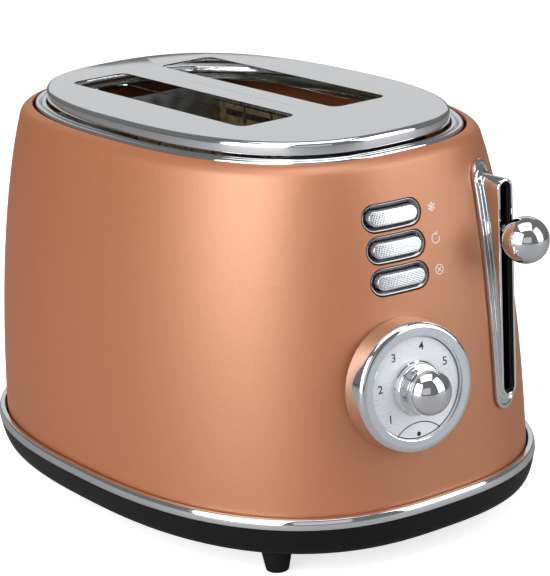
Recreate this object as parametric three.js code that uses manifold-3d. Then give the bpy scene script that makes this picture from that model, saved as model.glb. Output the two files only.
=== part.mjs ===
// A two-slot pop-up toaster, as an assembly of separate pieces.
// Millimetres, +Z up. The controls are on the +X end, the slots run along X, and the crumb tray leaves
// at -X.
// The pieces are placed from the middle of the body. At the end the whole group is moved along X, so that
// the origin is the middle of the bounding box, on the surface that the feet stand on.
import * as THREE from "three";
import { mergeVertices } from "three/addons/utils/BufferGeometryUtils.js";
import Module from "manifold-3d";

const wasm = await Module();
wasm.setup();

// ---------------------------------------------------------------- driving dimensions

// Gap between pieces that touch, and between pieces that move past each other.
const fitGap = 0.3;
const runGap = 0.4;

// How far a cutting shape runs past what it cuts, and how far in from the control end one starts.
const overshoot = 10;
const insideReach = 50;

// Plan outline: |x/a|^outlineX + |y/b|^outlineY = 1.
const outlineX = 2.52;
const outlineY = 2.65;
const outlineSteps = 40;

// Chrome band round the foot of the body: half length and half width of its upper rim.
const bandHalfLength = 144;
const bandHalfWidth = 103.8;
const bandFlare = 0.8;
const bandThickness = 2;
const bandHeight = 4.6;

const footHeight = 12.5;
const footTopRadius = 7.4;
const footBottomRadius = 5.2;
const footEdge = 1.2;
const footSetbackX = 43;
const footSetbackY = 39.3;

// Black base pan, from its flat underside up to the band.
const baseHeight = 13.3;
const baseFloor = 2.5;
const baseUnderInset = 6.5;
const baseStep = 0.2;
const baseWallInset = 4.5;
const baseLedgeInset = 2.4;
const baseLedgeDepth = 3.1;

// Screws that go up through the base into the feet of the bulkheads.
const screwRadius = 1.6;
const screwHeadRadius = 3.1;
const screwHeadHeight = 1.6;
const screwCone = 0.4;
const screwTipReach = 1.2;
const screwBossRadius = 4.2;
const screwPocketRadius = 3.6;
const screwPocketDepth = 2.2;
const screwSetIn = 6;
const screwSideStep = 6;

// Air slots in the base, under the controls.
const ventCount = 5;
const ventStartX = 78;
const ventPitch = 8;
const ventWidth = 3;
const ventNearY = -26;
const ventFarY = -48;

// Rubber gland of the mains lead.
const glandRadius = 3.7;
const glandBore = 2.4;
const glandY = 72;
const glandTail = 6;
const glandNeck = 1.5;
const glandLip = 1.4;
const glandLipDepth = 3.2;
const glandNose = 4;

// Painted outer shell. Its wall runs up as one curve, then turns over a shoulder.
const sheet = 1.2;
const shellHeight = 146;
const shellFootInset = 2.9;
const shellTopInset = 18;
const shellLowerPull = [3.65, 48];
const shellUpperPull = [8, 106];
const shellWidthTaper = 1.17;
const shoulderRadius = 6.5;
const shoulderEndAngle = THREE.MathUtils.degToRad(82);

// Polished top plate with its two bread slots, and the trim ring round it.
const ringGap = 1.2;
const ringWidth = 5.6;
const plateRise = 7.8;
const plateSheet = 1;
const plateSkirt = 5.7;
const plateEdgeRadius = 2.2;
const ringProud = 1;
const ringHookDepth = 6.6;
const ringHookReach = 3;
const ringHookSheet = 1.2;
const ringNeckInset = 0.6;
const slotLength = 142;
const slotWidth = 30.8;
const slotCorner = 5;
const slotCentreX = -12.7;
const slotDivider = 21;
const slotLipDepth = 5;

// Bread cavity: two bulkheads across the body, with side panels and heating cards between them.
const bulkheadClearance = 7.5;
const bulkheadSheet = 1;
const bulkheadRoom = 1;
const bulkheadMargin = 5.5;
const bulkheadFootHalf = [5, 4];
const sidePanelSheet = 0.8;
const sidePanelInset = [3, 4];
const cardThickness = 1;
const cardBottom = 34;
const cardTopDrop = 6;
const cardGuideGap = 7.4;
const ribbonRuns = 8;
const ribbonWidth = 3;
const ribbonThickness = 0.5;
const ribbonMargin = 8;

// Wire guides that close on the bread. Each turns on its bottom rod.
const guideWireRadius = 0.9;
const guideRodRadius = 1.2;
const guideWires = 7;
const guideSetback = 1.8;
const guidePivotZ = 38;
const guideEndGap = 6;
const guideWireMargin = 3;
const guidePinReach = 1.5;

// Carriage: bread racks, bracket, lever and knob. Heights are those at rest.
const leverZ = 139.4;
const leverY = 40.6;
const leverDown = 64;
const leverUp = 16;
const rackZ = 102;
const rackWidth = 11;
const rackSheet = 1.2;
const rackLip = 4;
const rackTongueWidth = 4;
const rackTongueHeight = 2.4;
const rackTongueReach = 4;
const rackEndGap = 2;
const rackSlotSpare = 6;
const bracketSheet = 1.2;
const bracketGap = 4;
const bracketDrop = 5;
const bracketRise = 9;
const bracketMargin = 5;
const bracketArmWidth = 12;
const bracketRibHalf = 1.5;
const springHookRise = 2;
const springHookHalf = 2;
const bladeThickness = 1.8;
const bladeHeight = 8;
const bladeFootWidth = 6;
const knobBallRadius = 10.6;
const knobStandOff = 6.8;
const knobNeckRadius = 2.2;
const knobSocketStop = 3;
const neckOverlap = 2;

// Guide rod and lift spring, on the control side of the front bulkhead.
const rodStandOff = 12.8;
const rodRadius = 2.5;
const rodOverhang = 5;
const earDrop = 9;
const earRise = 3;
const earReach = 8;
const earSpanY = [-20, 8];
const sleeveRadius = 5;
const sleeveHeight = 24;
const springRadius = 3.5;
const springWireRadius = 0.6;
const springTurns = 8;
const springY = -14;

// Latch: an electromagnet that holds the armature of the lowered carriage.
const magnetY = 20;
const magnetPoleX = 1;
const magnetPoleRadius = 4;
const magnetTopZ = 50;
const magnetSheet = 2;
const magnetYokeSheet = 1.4;
const magnetSpanX = [-6, 10];
const magnetHalfWidth = 9;
const yokeHalfWidth = 7;
const coilTopZ = 48;
const coilRadius = 6.4;
const coilFlangeRadius = 7.2;
const coilFlangeSheet = 1.5;
const armatureSpanX = [-6, 8];
const armatureHalfWidth = 7;
const armatureSheet = 2;
const armatureAir = 0.6;
const latchTabHalfWidth = 6;

// Mains switch, terminal block and the two leads along the base.
const switchSpanX = [-4, 14];
const switchSpanY = [-38.5, -21];
const switchTopZ = 37;
const terminalFromBulkhead = [-19.8, -5.8];
const terminalFromEdge = [-2, 9];
const terminalTopZ = 27;
const leadGap = 1;
const leadRadius = 1.2;
const leadRise = 0.8;
const leadSteps = 28;

// Control board behind the buttons.
const boardSetback = 35;
const boardSheet = 1.6;
const boardSpanY = [-44, 22];
const boardSpanZ = [62, 164];
const boardRoot = 0.2;
const switchReach = 3.8;
const switchHalf = 3;
const boardPartPlaces = [[-34, 112], [10, 118], [8, 96]];
const boardPartSizes = [7, 9, 6];
const boardFoldWidth = 22;
const boardFoldSheet = 1;

// Lever escutcheon: a flange on the body, and a wedge that carries an upright slot.
const flangeWidth = 15.4;
const flangeProud = 2.2;
const flangeBottom = 58.4;
const flangeTop = 170.6;
const loopWidth = 8.6;
const loopWall = 1.3;
const loopBottom = 64.7;
const loopTop = 164.6;
const loopSetback = 6;
const linerWall = 0.8;
const linerDepth = 32;

// Push buttons, in a column. The uppermost comes first.
const buttonY = -15.4;
const buttonTopZ = 157.4;
const buttonPitch = 13.6;
const buttonNames = ["defrost", "reheat", "cancel"];
const capLength = 24.4;
const capHeight = 6.6;
const capProud = 1.2;
const capGap = 0.4;
const frameBorder = 2.2;
const buttonTravel = 1.8;
const buttonStemRadius = 2;
const buttonRoot = 1;
const frameBoardGap = 10;
const frameSheet = 2;
const frameMargin = 2.5;
const frameCorner = 4;
const frameSink = 0.5;

// Browning dial, on the body's own normal.
const dialY = -19.2;
const dialZ = 85;
const dialOuterRadius = 29.7;
const dialBackDepth = 0.8;
const dialBossRadius = 26;
const dialBossDepth = 9;
const dialWall = 1.6;
const dialFloor = [1, 2.4];
const dialShoulderRadius = 28.7;
const dialShoulderDepth = 8.8;
const dialRimRadius = 22.8;
const dialRimDepth = 10.8;
const dialEdgeRun = 2.2;
const dialRimLip = [0.4, 0.5];
const dialFaceDepth = 8.8;
const dialFaceSheet = 1.2;
const knobBaseRadius = 12;
const knobCollarHeight = 4;
const knobDomeRadius = 10.1;
const knobDomeHeight = 8;
const knobDomeDepth = 19.6;
const knobUnderDrop = 1;
const knobWaistDrop = 2.2;
const shaftRadius = 3;
const shaftTail = 19;
const bushingWall = 1.7;
const faceHubWidth = 2.4;
const faceHubLap = 0.6;
const potRadius = 8.5;
const potSpan = [20, 12];
const potTip = 0.5;

// Crumb tray.
const trayOverrun = 3.7;
const trayMargin = 5;
const traySheet = 0.8;
const trayRim = 3.6;
const trayLift = 1.2;
const trayEndGap = 2;
const trayDoorDepth = 50;
const trayDoorSide = 1.5;
const trayDoorHead = 1.4;
const trayLipHalfWidth = 22;
const trayLipSheet = 1.8;
const trayLipProud = 4;
const trayLipRoot = 4;
const trayLipRise = 1;
const trayTongueHalfWidth = 40;
const trayTongueSheet = 1.6;

// ---------------------------------------------------------------- worked out from them

const baseBottomZ = footHeight;
const baseFloorZ = baseBottomZ + baseFloor;
const baseTopZ = baseBottomZ + baseHeight;
const bandBottomZ = baseTopZ + fitGap;
const bandTopZ = bandBottomZ + bandHeight;
const shellBottomZ = baseTopZ - baseLedgeDepth + fitGap;
const shoulderStartAngle = Math.atan2(
  shellTopInset - shellUpperPull[0],
  shellHeight - shellUpperPull[1],
);
const shoulderCentre = [
  shellTopInset + shoulderRadius * Math.cos(shoulderStartAngle),
  shellHeight - shoulderRadius * Math.sin(shoulderStartAngle),
];
const openingInset = shoulderCentre[0] - shoulderRadius * Math.cos(shoulderEndAngle);
const openingZ = bandTopZ + shoulderCentre[1] + shoulderRadius * Math.sin(shoulderEndAngle);
const ringHalfLength = bandHalfLength - openingInset - ringGap;
const ringHalfWidth = bandHalfWidth - shellWidthTaper * openingInset - ringGap;
const plateHalfLength = ringHalfLength - ringWidth - fitGap;
const plateHalfWidth = ringHalfWidth - ringWidth - fitGap;
const plateTopZ = openingZ + plateRise;
const footX = bandHalfLength - footSetbackX;
const footY = bandHalfWidth - footSetbackY;
const slotCentreY = (slotDivider + slotWidth) / 2;
const slotStartX = slotCentreX - slotLength / 2;
const slotEndX = slotCentreX + slotLength / 2;
const rearBulkheadX = slotStartX - bulkheadClearance - bulkheadSheet;
const frontBulkheadX = slotEndX + bulkheadClearance;
const bulkheadBottom = shellBottomZ + fitGap;
const bulkheadTop = openingZ - ringHookDepth - bulkheadRoom;
const insideEndX = bandHalfLength - insideReach;
const cardTop = bulkheadTop - cardTopDrop;
const guideTopZ = cardTop;
const guideOffset = slotWidth / 2 + guideSetback;
const outerCardY = slotCentreY + guideOffset + cardGuideGap;
const bulkheadHalfWidth = outerCardY + bulkheadMargin;
const trayHalfWidth = bulkheadHalfWidth - trayMargin;
const bracketX = frontBulkheadX + bulkheadSheet + runGap + bracketGap;
const rodX = bracketX + rodStandOff;
const boardX = bandHalfLength - boardSetback;
const frameBackX = boardX + frameBoardGap;
const loopFrontX = bandHalfLength - loopSetback;
const knobBallX = bandHalfLength + knobStandOff;
const rackSlotWidth = rackTongueWidth + 2 * runGap;
const sides = { front: -1, rear: 1 };

// ---------------------------------------------------------------- shape helpers

// A closed mesh as a manifold solid.
function solid(geometry) {
  const bare = geometry.index ? geometry.toNonIndexed() : geometry.clone();
  bare.deleteAttribute("normal");
  bare.deleteAttribute("uv");
  const merged = mergeVertices(bare, 1e-4);
  return new wasm.Manifold(
    new wasm.Mesh({
      numProp: 3,
      vertProperties: new Float32Array(merged.attributes.position.array),
      triVerts: new Uint32Array(merged.index.array),
    }),
  );
}

// A manifold solid as a flat-shaded mesh geometry.
function geometryOf(made) {
  const mesh = made.getMesh();
  const position = new Float32Array(mesh.numVert * 3);
  for (let i = 0; i < mesh.numVert; i++) {
    const start = i * mesh.numProp;
    position.set(mesh.vertProperties.subarray(start, start + 3), i * 3);
  }
  const indexed = new THREE.BufferGeometry();
  indexed.setAttribute("position", new THREE.BufferAttribute(position, 3));
  indexed.setIndex(new THREE.BufferAttribute(mesh.triVerts, 1));
  const flat = indexed.toNonIndexed();
  flat.computeVertexNormals();
  return flat;
}

function box(x0, x1, y0, y1, z0, z1) {
  const made = new THREE.BoxGeometry(x1 - x0, y1 - y0, z1 - z0);
  made.translate((x0 + x1) / 2, (y0 + y1) / 2, (z0 + z1) / 2);
  return solid(made);
}

// Turns a profile of [radius, height] points about Z. The profile starts and ends on the axis, or closes.
function lathe(profile, segments = 16) {
  const made = new THREE.LatheGeometry(
    profile.map(([r, h]) => new THREE.Vector2(r, h)),
    segments,
  );
  made.rotateX(Math.PI / 2);
  return solid(made);
}

// A rod from one point to another.
function rod(from, to, radius, segments = 12) {
  const a = new THREE.Vector3(...from);
  const b = new THREE.Vector3(...to);
  const made = new THREE.CylinderGeometry(radius, radius, a.distanceTo(b), segments);
  const turn = new THREE.Quaternion().setFromUnitVectors(
    new THREE.Vector3(0, 1, 0),
    b.clone().sub(a).normalize(),
  );
  made.applyQuaternion(turn);
  made.translate(...a.add(b).multiplyScalar(0.5).toArray());
  return solid(made);
}

// Shapes drawn in the plane across X, and pushed along X.
const acrossX = new THREE.Matrix4().makeBasis(
  new THREE.Vector3(0, 1, 0),
  new THREE.Vector3(0, 0, 1),
  new THREE.Vector3(1, 0, 0),
);
// Shapes drawn in the plane across Y, and pushed along -Y.
const acrossY = new THREE.Matrix4().makeBasis(
  new THREE.Vector3(1, 0, 0),
  new THREE.Vector3(0, 0, 1),
  new THREE.Vector3(0, -1, 0),
);

function push(shape, depth, curveSegments = 4) {
  return new THREE.ExtrudeGeometry(shape, { depth, bevelEnabled: false, curveSegments });
}

function prismX(shape, x0, x1) {
  const made = push(shape, x1 - x0);
  made.applyMatrix4(acrossX);
  made.translate(x0, 0, 0);
  return solid(made);
}

function prismY(shape, y0, y1) {
  const made = push(shape, y1 - y0);
  made.applyMatrix4(acrossY);
  made.translate(0, y1, 0);
  return solid(made);
}

function prismZ(shape, z0, z1) {
  const made = push(shape, z1 - z0);
  made.translate(0, 0, z0);
  return solid(made);
}

function polygon(points) {
  return new THREE.Shape(points.map(([u, v]) => new THREE.Vector2(u, v)));
}

// A rectangle with round corners about (u, v). A pill has corners of half its shorter side.
function roundedRectangle(u, v, width, height, radius) {
  const r = Math.min(radius, width / 2 - 0.01, height / 2 - 0.01);
  const [l, b, w, h] = [u - width / 2, v - height / 2, width, height];
  const shape = new THREE.Shape();
  shape.moveTo(l + r, b);
  shape.lineTo(l + w - r, b);
  shape.absarc(l + w - r, b + r, r, -Math.PI / 2, 0, false);
  shape.lineTo(l + w, b + h - r);
  shape.absarc(l + w - r, b + h - r, r, 0, Math.PI / 2, false);
  shape.lineTo(l + r, b + h);
  shape.absarc(l + r, b + h - r, r, Math.PI / 2, Math.PI, false);
  shape.lineTo(l, b + r);
  shape.absarc(l + r, b + r, r, Math.PI, 1.5 * Math.PI, false);
  return shape;
}

function pill(u, v, width, height) {
  return roundedRectangle(u, v, width, height, Math.min(width, height) / 2);
}

// One point of the plan outline with half length a and half width b.
function outlinePoint(a, b, step) {
  const angle = (2 * Math.PI * step) / outlineSteps;
  const [c, s] = [Math.cos(angle), Math.sin(angle)];
  return [
    a * Math.sign(c) * Math.abs(c) ** (2 / outlineX),
    b * Math.sign(s) * Math.abs(s) ** (2 / outlineY),
  ];
}

function outlineVertices(rings) {
  return rings.flatMap(([a, b, z]) =>
    Array.from({ length: outlineSteps }, (_, i) => [...outlinePoint(a, b, i), z]).flat(),
  );
}

// Faces between neighbouring rings. A loop also joins the last ring to the first.
function wallFaces(count, loop) {
  const faces = [];
  for (let r = 0; r < (loop ? count : count - 1); r++) {
    const [low, high] = [r * outlineSteps, ((r + 1) % count) * outlineSteps];
    for (let i = 0; i < outlineSteps; i++) {
      const j = (i + 1) % outlineSteps;
      faces.push(low + i, low + j, high + j, low + i, high + j, high + i);
    }
  }
  return faces;
}

function meshSolid(vertices, faces) {
  const made = new THREE.BufferGeometry();
  made.setAttribute("position", new THREE.Float32BufferAttribute(vertices, 3));
  made.setIndex(faces);
  return solid(made);
}

// A ring-shaped piece: its section goes round anticlockwise, outer side up, as [a, b, z] outlines.
function outlineRing(rings) {
  return meshSolid(outlineVertices(rings), wallFaces(rings.length, true));
}

// A filled piece between the first and the last outline, from the lowest up.
function outlineBlock(rings) {
  const vertices = outlineVertices(rings);
  const faces = wallFaces(rings.length, false);
  const centre = vertices.length / 3;
  vertices.push(0, 0, rings[0][2], 0, 0, rings.at(-1)[2]);
  const last = (rings.length - 1) * outlineSteps;
  for (let i = 0; i < outlineSteps; i++) {
    const j = (i + 1) % outlineSteps;
    faces.push(centre, j, i, centre + 1, last + i, last + j);
  }
  return meshSolid(vertices, faces);
}

// ---------------------------------------------------------------- body surface

// A point of the shell's wall curve: how far it stands in from the band, and its height over the band.
function wallCurve(t) {
  const u = 1 - t;
  const blend = (a, b, c, d) => u ** 3 * a + 3 * u * u * t * b + 3 * u * t * t * c + t ** 3 * d;
  return [
    blend(shellFootInset, shellLowerPull[0], shellUpperPull[0], shellTopInset),
    blend(0, shellLowerPull[1], shellUpperPull[1], shellHeight),
  ];
}

// How far the wall stands in from the band at a height over it.
function insetAt(height) {
  let [low, high] = [0, 1];
  for (let i = 0; i < 40; i++) {
    const middle = (low + high) / 2;
    if (wallCurve(middle)[1] < height) low = middle;
    else high = middle;
  }
  return wallCurve(low)[0];
}

function shellRing(inset, height, grow = 0) {
  return [
    bandHalfLength - inset + grow,
    bandHalfWidth - shellWidthTaper * inset + grow,
    bandTopZ + height,
  ];
}

// The outer face of the shell, or one parallel to it: wall, then shoulder.
function shellRings(grow) {
  const [wallSteps, shoulderSteps] = [6, 3];
  const rings = [[...shellRing(shellFootInset, 0, grow).slice(0, 2), shellBottomZ]];
  for (let i = 0; i <= wallSteps; i++) rings.push(shellRing(...wallCurve(i / wallSteps), grow));
  for (let i = 1; i <= shoulderSteps; i++) {
    const angle = THREE.MathUtils.lerp(shoulderStartAngle, shoulderEndAngle, i / shoulderSteps);
    const inset = shoulderCentre[0] - shoulderRadius * Math.cos(angle);
    const height = shoulderCentre[1] + shoulderRadius * Math.sin(angle);
    const [a, b, z] = shellRing(inset, height);
    rings.push([a + grow * Math.cos(angle), b + grow * Math.cos(angle), z + grow * Math.sin(angle)]);
  }
  return rings;
}

// The whole body as a filled block, grown outwards. Pieces that lie on the body are cut with it.
const filledBody = (grow) => outlineBlock(shellRings(grow));

// X of the shell's face at a place on the control end.
function bodyX(y, z) {
  const [a, b] = shellRing(insetAt(z - bandTopZ), 0);
  return a * (1 - Math.abs(y / b) ** outlineY) ** (1 / outlineX);
}

// The outward normal of the shell's face there.
function bodyNormal(y, z) {
  const step = 0.5;
  const alongY = (bodyX(y + step, z) - bodyX(y - step, z)) / (2 * step);
  const alongZ = (bodyX(y, z + step) - bodyX(y, z - step)) / (2 * step);
  return new THREE.Vector3(1, -alongY, -alongZ).normalize();
}

// ---------------------------------------------------------------- finishes

function finish(color, roughness, metalness) {
  return new THREE.MeshStandardMaterial({ color, roughness, metalness });
}

const copperPaint = finish("#bf7d5c", 0.42, 0.55);
const chrome = finish("#dfe3e7", 0.08, 1);
const blackPlastic = finish("#17171a", 0.5, 0);
const blackRubber = finish("#101012", 0.85, 0);
const silverLens = finish("#c9ccd0", 0.3, 0.4);
const silverFace = finish("#d5d9df", 0.35, 0.7);
const galvanised = finish("#a9adb0", 0.45, 0.9);
const brightSteel = finish("#c2c6c9", 0.25, 1);
const mica = finish("#b9a06b", 0.6, 0);
const nichrome = finish("#6d6a66", 0.5, 0.9);
const boardGreen = finish("#1f6a3c", 0.55, 0);
const copperWinding = finish("#b5602e", 0.4, 0.8);
const redSleeve = finish("#a5231c", 0.5, 0);
const blueSleeve = finish("#22458f", 0.5, 0);

const toaster = new THREE.Group();

function add(name, made, material, parent = toaster) {
  const mesh = new THREE.Mesh(geometryOf(made), material);
  mesh.name = name;
  parent.add(mesh);
  return mesh;
}

// ---------------------------------------------------------------- base, band and feet

const baseRing = (inset, z) => [bandHalfLength + inset, bandHalfWidth + inset, z];

// The wall swells out quickly over the first millimetres, then rises to just inside the band.
function baseOuter() {
  const flare = bandFlare - baseStep;
  return outlineBlock([
    baseRing(-baseUnderInset, baseBottomZ),
    baseRing(-0.42 * baseUnderInset, baseBottomZ + 0.06 * baseHeight),
    baseRing(-0.05 * baseUnderInset, baseBottomZ + 0.3 * baseHeight),
    baseRing(0.6 * flare, baseBottomZ + 0.62 * baseHeight),
    baseRing(flare, baseTopZ),
  ]);
}

function baseInner() {
  return outlineBlock([
    baseRing(-baseWallInset, baseFloorZ),
    baseRing(-baseWallInset, baseTopZ - baseLedgeDepth),
    baseRing(-baseLedgeInset, baseTopZ - baseLedgeDepth),
    baseRing(-baseLedgeInset, baseTopZ + 1),
  ]);
}

const trayBottomZ = baseFloorZ + trayLift;
const trayTopZ = trayBottomZ + trayRim + traySheet;
const trayDoorTopZ = trayTopZ + 2 * fitGap + trayDoorHead;

// The opening that the tray goes through, grown or shrunk all round.
function trayDoor(grow) {
  const outside = -bandHalfLength - overshoot;
  const half = trayHalfWidth + trayDoorSide + grow;
  return box(outside, trayDoorDepth - bandHalfLength, -half, half,
    baseFloorZ + fitGap - grow, trayDoorTopZ + grow);
}

const screwPlaces = [frontBulkheadX - screwSetIn, rearBulkheadX + bulkheadSheet + screwSetIn].flatMap(
  (x) => [-1, 1].map((side) => [x, side * (bulkheadHalfWidth + screwSideStep)]),
);

const glandZ = (baseFloorZ + shellBottomZ) / 2;
const glandAt = (() => {
  const [a, b] = [bandHalfLength + 0.5 * bandFlare, bandHalfWidth + 0.5 * bandFlare];
  const x = -a * (1 - (glandY / b) ** outlineY) ** (1 / outlineX);
  const normal = new THREE.Vector3(
    -(outlineX / a) * (-x / a) ** (outlineX - 1),
    (outlineY / b) * (glandY / b) ** (outlineY - 1),
    0,
  ).normalize();
  return { point: new THREE.Vector3(x, glandY, glandZ), normal };
})();

// A group whose +Z points along a normal, at a point.
function localFrame(point, normal) {
  const group = new THREE.Group();
  group.position.copy(point);
  group.quaternion.setFromUnitVectors(new THREE.Vector3(0, 0, 1), normal);
  group.updateMatrix();
  toaster.add(group);
  return group;
}

function baseShell() {
  let made = baseOuter().subtract(baseInner()).subtract(trayDoor(0));
  for (const [x, y] of screwPlaces) {
    const below = baseBottomZ - overshoot;
    const boss = rod([x, y, baseFloorZ - 1], [x, y, bulkheadBottom - fitGap], screwBossRadius, 16);
    const head = rod([x, y, below], [x, y, baseBottomZ + screwPocketDepth], screwPocketRadius, 16);
    const shank = rod([x, y, below], [x, y, baseTopZ], screwRadius + runGap, 12);
    made = made.add(boss).subtract(head).subtract(shank);
  }
  for (let i = 0; i < ventCount; i++) {
    const x = ventStartX + ventPitch * i;
    made = made.subtract(
      box(x, x + ventWidth, ventFarY, ventNearY, baseBottomZ - overshoot, baseFloorZ + overshoot),
    );
  }
  const { point, normal } = glandAt;
  const along = (d) => point.clone().addScaledVector(normal, d).toArray();
  return made.subtract(rod(along(-2 * glandTail), along(2 * glandNose), glandRadius + fitGap, 16));
}

function baseBand() {
  const ring = (out, rise) => baseRing(out, bandBottomZ + rise);
  return outlineRing([
    ring(-bandThickness, 0),
    ring(bandFlare, 0),
    ring(0.8 * bandFlare, 0.45 * bandHeight),
    ring(0.3 * bandFlare, 0.88 * bandHeight),
    ring(0, bandHeight),
    ring(-bandThickness, bandHeight),
  ]);
}

function foot() {
  return lathe([
    [0, 0],
    [footBottomRadius - footEdge, 0],
    [footBottomRadius, footEdge],
    [footTopRadius, footHeight - fitGap],
    [0, footHeight - fitGap],
  ], 20);
}

add("base_shell", baseShell(), blackPlastic);
add("base_band", baseBand(), chrome);
for (const [sideX, nameX] of [[1, "control_end"], [-1, "tray_end"]])
  for (const [nameY, sideY] of Object.entries(sides)) {
    const mesh = add(`foot_${nameX}_${nameY}`, foot(), blackRubber);
    mesh.position.set(sideX * footX, sideY * footY, 0);
  }

const screwLength = bulkheadBottom + bulkheadSheet + screwTipReach - baseBottomZ;
const screwProfile = [
  [0, 0],
  [screwHeadRadius, 0],
  [screwHeadRadius, screwHeadHeight],
  [screwRadius, screwHeadHeight + screwCone],
  [screwRadius, screwLength],
  [0, screwLength],
];
screwPlaces.forEach(([x, y], i) => {
  const mesh = add(`base_screw_${i + 1}`, lathe(screwProfile, 12), brightSteel);
  mesh.position.set(x, y, baseBottomZ + fitGap);
});

// Rubber gland for the mains lead, in the base wall.
const glandGroup = localFrame(glandAt.point, glandAt.normal);
add("cord_gland", lathe([
  [glandBore, -glandTail],
  [glandRadius, -glandTail],
  [glandRadius, glandNeck],
  [glandRadius + glandLip, glandNeck],
  [glandRadius + 0.7 * glandLip, glandLipDepth],
  [glandBore, glandNose],
  [glandBore, -glandTail],
], 16), blackRubber, glandGroup);

// ---------------------------------------------------------------- crumb tray

const trayStartX = -(() => {
  const [a, b] = baseRing(-baseWallInset, 0);
  return a * (1 - (trayHalfWidth / b) ** outlineY) ** (1 / outlineX) - trayEndGap;
})();
const trayEndX = frontBulkheadX + trayOverrun;

function crumbTray() {
  const [x0, x1, half] = [trayStartX, trayEndX, trayHalfWidth];
  return box(x0, x1, -half, half, trayBottomZ, trayTopZ).subtract(
    box(x0 + traySheet, x1 - traySheet, -half + traySheet, half - traySheet,
      trayBottomZ + traySheet, trayTopZ + overshoot),
  );
}

// The end wall of the tray: a piece of the base's own wall with a finger lip, and a tongue to the pan.
function crumbTrayHandle() {
  const wall = baseOuter().subtract(baseInner()).intersect(trayDoor(-fitGap));
  const lipZ = (baseFloorZ + trayDoorTopZ) / 2 + trayLipRise;
  const lip = box(-bandHalfLength - bandFlare - trayLipProud, -bandHalfLength + trayLipRoot,
    -trayLipHalfWidth, trayLipHalfWidth, lipZ, lipZ + trayLipSheet);
  const tongue = box(-bandHalfLength + baseWallInset - 1, trayStartX - fitGap,
    -trayTongueHalfWidth, trayTongueHalfWidth, trayBottomZ, trayBottomZ + trayTongueSheet);
  return wall.add(lip).add(tongue);
}

add("crumb_tray", crumbTray(), galvanised);
add("crumb_tray_handle", crumbTrayHandle(), blackPlastic);

// ---------------------------------------------------------------- outer shell

const frameLength = capLength + 2 * (capGap + frameBorder);
const frameHeight = capHeight + 2 * (capGap + frameBorder);
const buttonZ = buttonNames.map((_, i) => buttonTopZ - i * buttonPitch);
const dialPoint = new THREE.Vector3(bodyX(dialY, dialZ), dialY, dialZ);
const dialNormal = bodyNormal(dialY, dialZ);
const onDialAxis = (depth) => dialPoint.clone().addScaledVector(dialNormal, depth).toArray();
const bushingRadius = shaftRadius + runGap + bushingWall;
const slotMiddleZ = (loopBottom + loopTop) / 2;
const loopHeight = loopTop - loopBottom;
const slotOpening = { width: loopWidth - 2 * loopWall, height: loopHeight - 2 * loopWall };

function outerShell() {
  const outer = shellRings(0);
  const inner = shellRings(-sheet).reverse();
  const [innerTop] = inner;
  inner[0] = [innerTop[0], innerTop[1], outer.at(-1)[2] - sheet];
  let made = outlineRing([...outer, ...inner]);
  for (const z of buttonZ) {
    const hole = pill(buttonY, z, frameLength + 2 * capGap, frameHeight + 2 * capGap);
    made = made.subtract(prismX(hole, insideEndX, bandHalfLength + overshoot));
  }
  made = made.subtract(rod(onDialAxis(-20), onDialAxis(20), bushingRadius + runGap, 20));
  const leverHole = pill(leverY, slotMiddleZ, slotOpening.width, slotOpening.height);
  return made.subtract(prismX(leverHole, insideEndX, bandHalfLength + overshoot));
}

add("outer_shell", outerShell(), copperPaint);

// ---------------------------------------------------------------- top plate and trim ring

function topPlate() {
  const ring = (inset, drop) => [plateHalfLength - inset, plateHalfWidth - inset, plateTopZ - drop];
  const r = plateEdgeRadius;
  const edge = [0, 1, 2].map((i) => {
    const angle = (i / 2) * (Math.PI / 2);
    return ring(r - r * Math.cos(angle), r - r * Math.sin(angle));
  });
  const outer = outlineBlock([ring(0, plateSkirt), ...edge]);
  const inner = outlineBlock([
    ring(plateSheet, plateSkirt + 1),
    ring(plateSheet, r),
    ring(plateSheet + 0.3 * r, plateSheet + 0.2 * r),
    ring(plateSheet + r, plateSheet),
  ]);
  let made = outer.subtract(inner);
  for (const side of Object.values(sides)) {
    const y = side * slotCentreY;
    const lip = roundedRectangle(slotCentreX, y, slotLength + 2 * plateSheet, slotWidth + 2 * plateSheet,
      slotCorner + plateSheet);
    const hole = roundedRectangle(slotCentreX, y, slotLength, slotWidth, slotCorner);
    made = made
      .add(prismZ(lip, plateTopZ - plateSheet - slotLipDepth, plateTopZ - 0.5 * plateSheet))
      .subtract(prismZ(hole, plateTopZ - slotLipDepth - plateSheet - overshoot, plateTopZ + overshoot));
  }
  return made;
}

// The ring's section: a rounded bead outside, a shallow groove, and a lip that hooks under the shell.
function topTrimRing() {
  const top = openingZ + ringProud;
  const ring = (inset, drop) => [ringHalfLength - inset, ringHalfWidth - inset, top - drop];
  const w = ringWidth;
  const hookTop = ringHookDepth + ringProud - ringHookSheet;
  return outlineRing([
    ring(w, ringHookDepth + ringProud),
    ring(-ringHookReach, ringHookDepth + ringProud),
    ring(-ringHookReach, hookTop),
    ring(ringNeckInset, hookTop),
    ring(ringNeckInset, 2 + ringNeckInset),
    ring(0, 2),
    ring(0.16 * w, 0.7),
    ring(0.38 * w, 0.45),
    ring(0.55 * w, 0.9),
    ring(0.78 * w, 0.2),
    ring(w, 0),
  ]);
}

add("top_plate", topPlate(), chrome);
add("top_trim_ring", topTrimRing(), chrome);

// ---------------------------------------------------------------- bread cavity

const rackTravel = [rackZ - leverDown, rackZ + leverUp];
const guideY = Object.entries(sides).flatMap(([name, side]) => [
  { name: `bread_guide_${name}_outer`, y: side * (slotCentreY + guideOffset) },
  { name: `bread_guide_${name}_inner`, y: side * (slotCentreY - guideOffset) },
]);
const upperEarZ = bulkheadTop - earDrop;
const lowerEarZ = bulkheadBottom + earRise;

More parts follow.
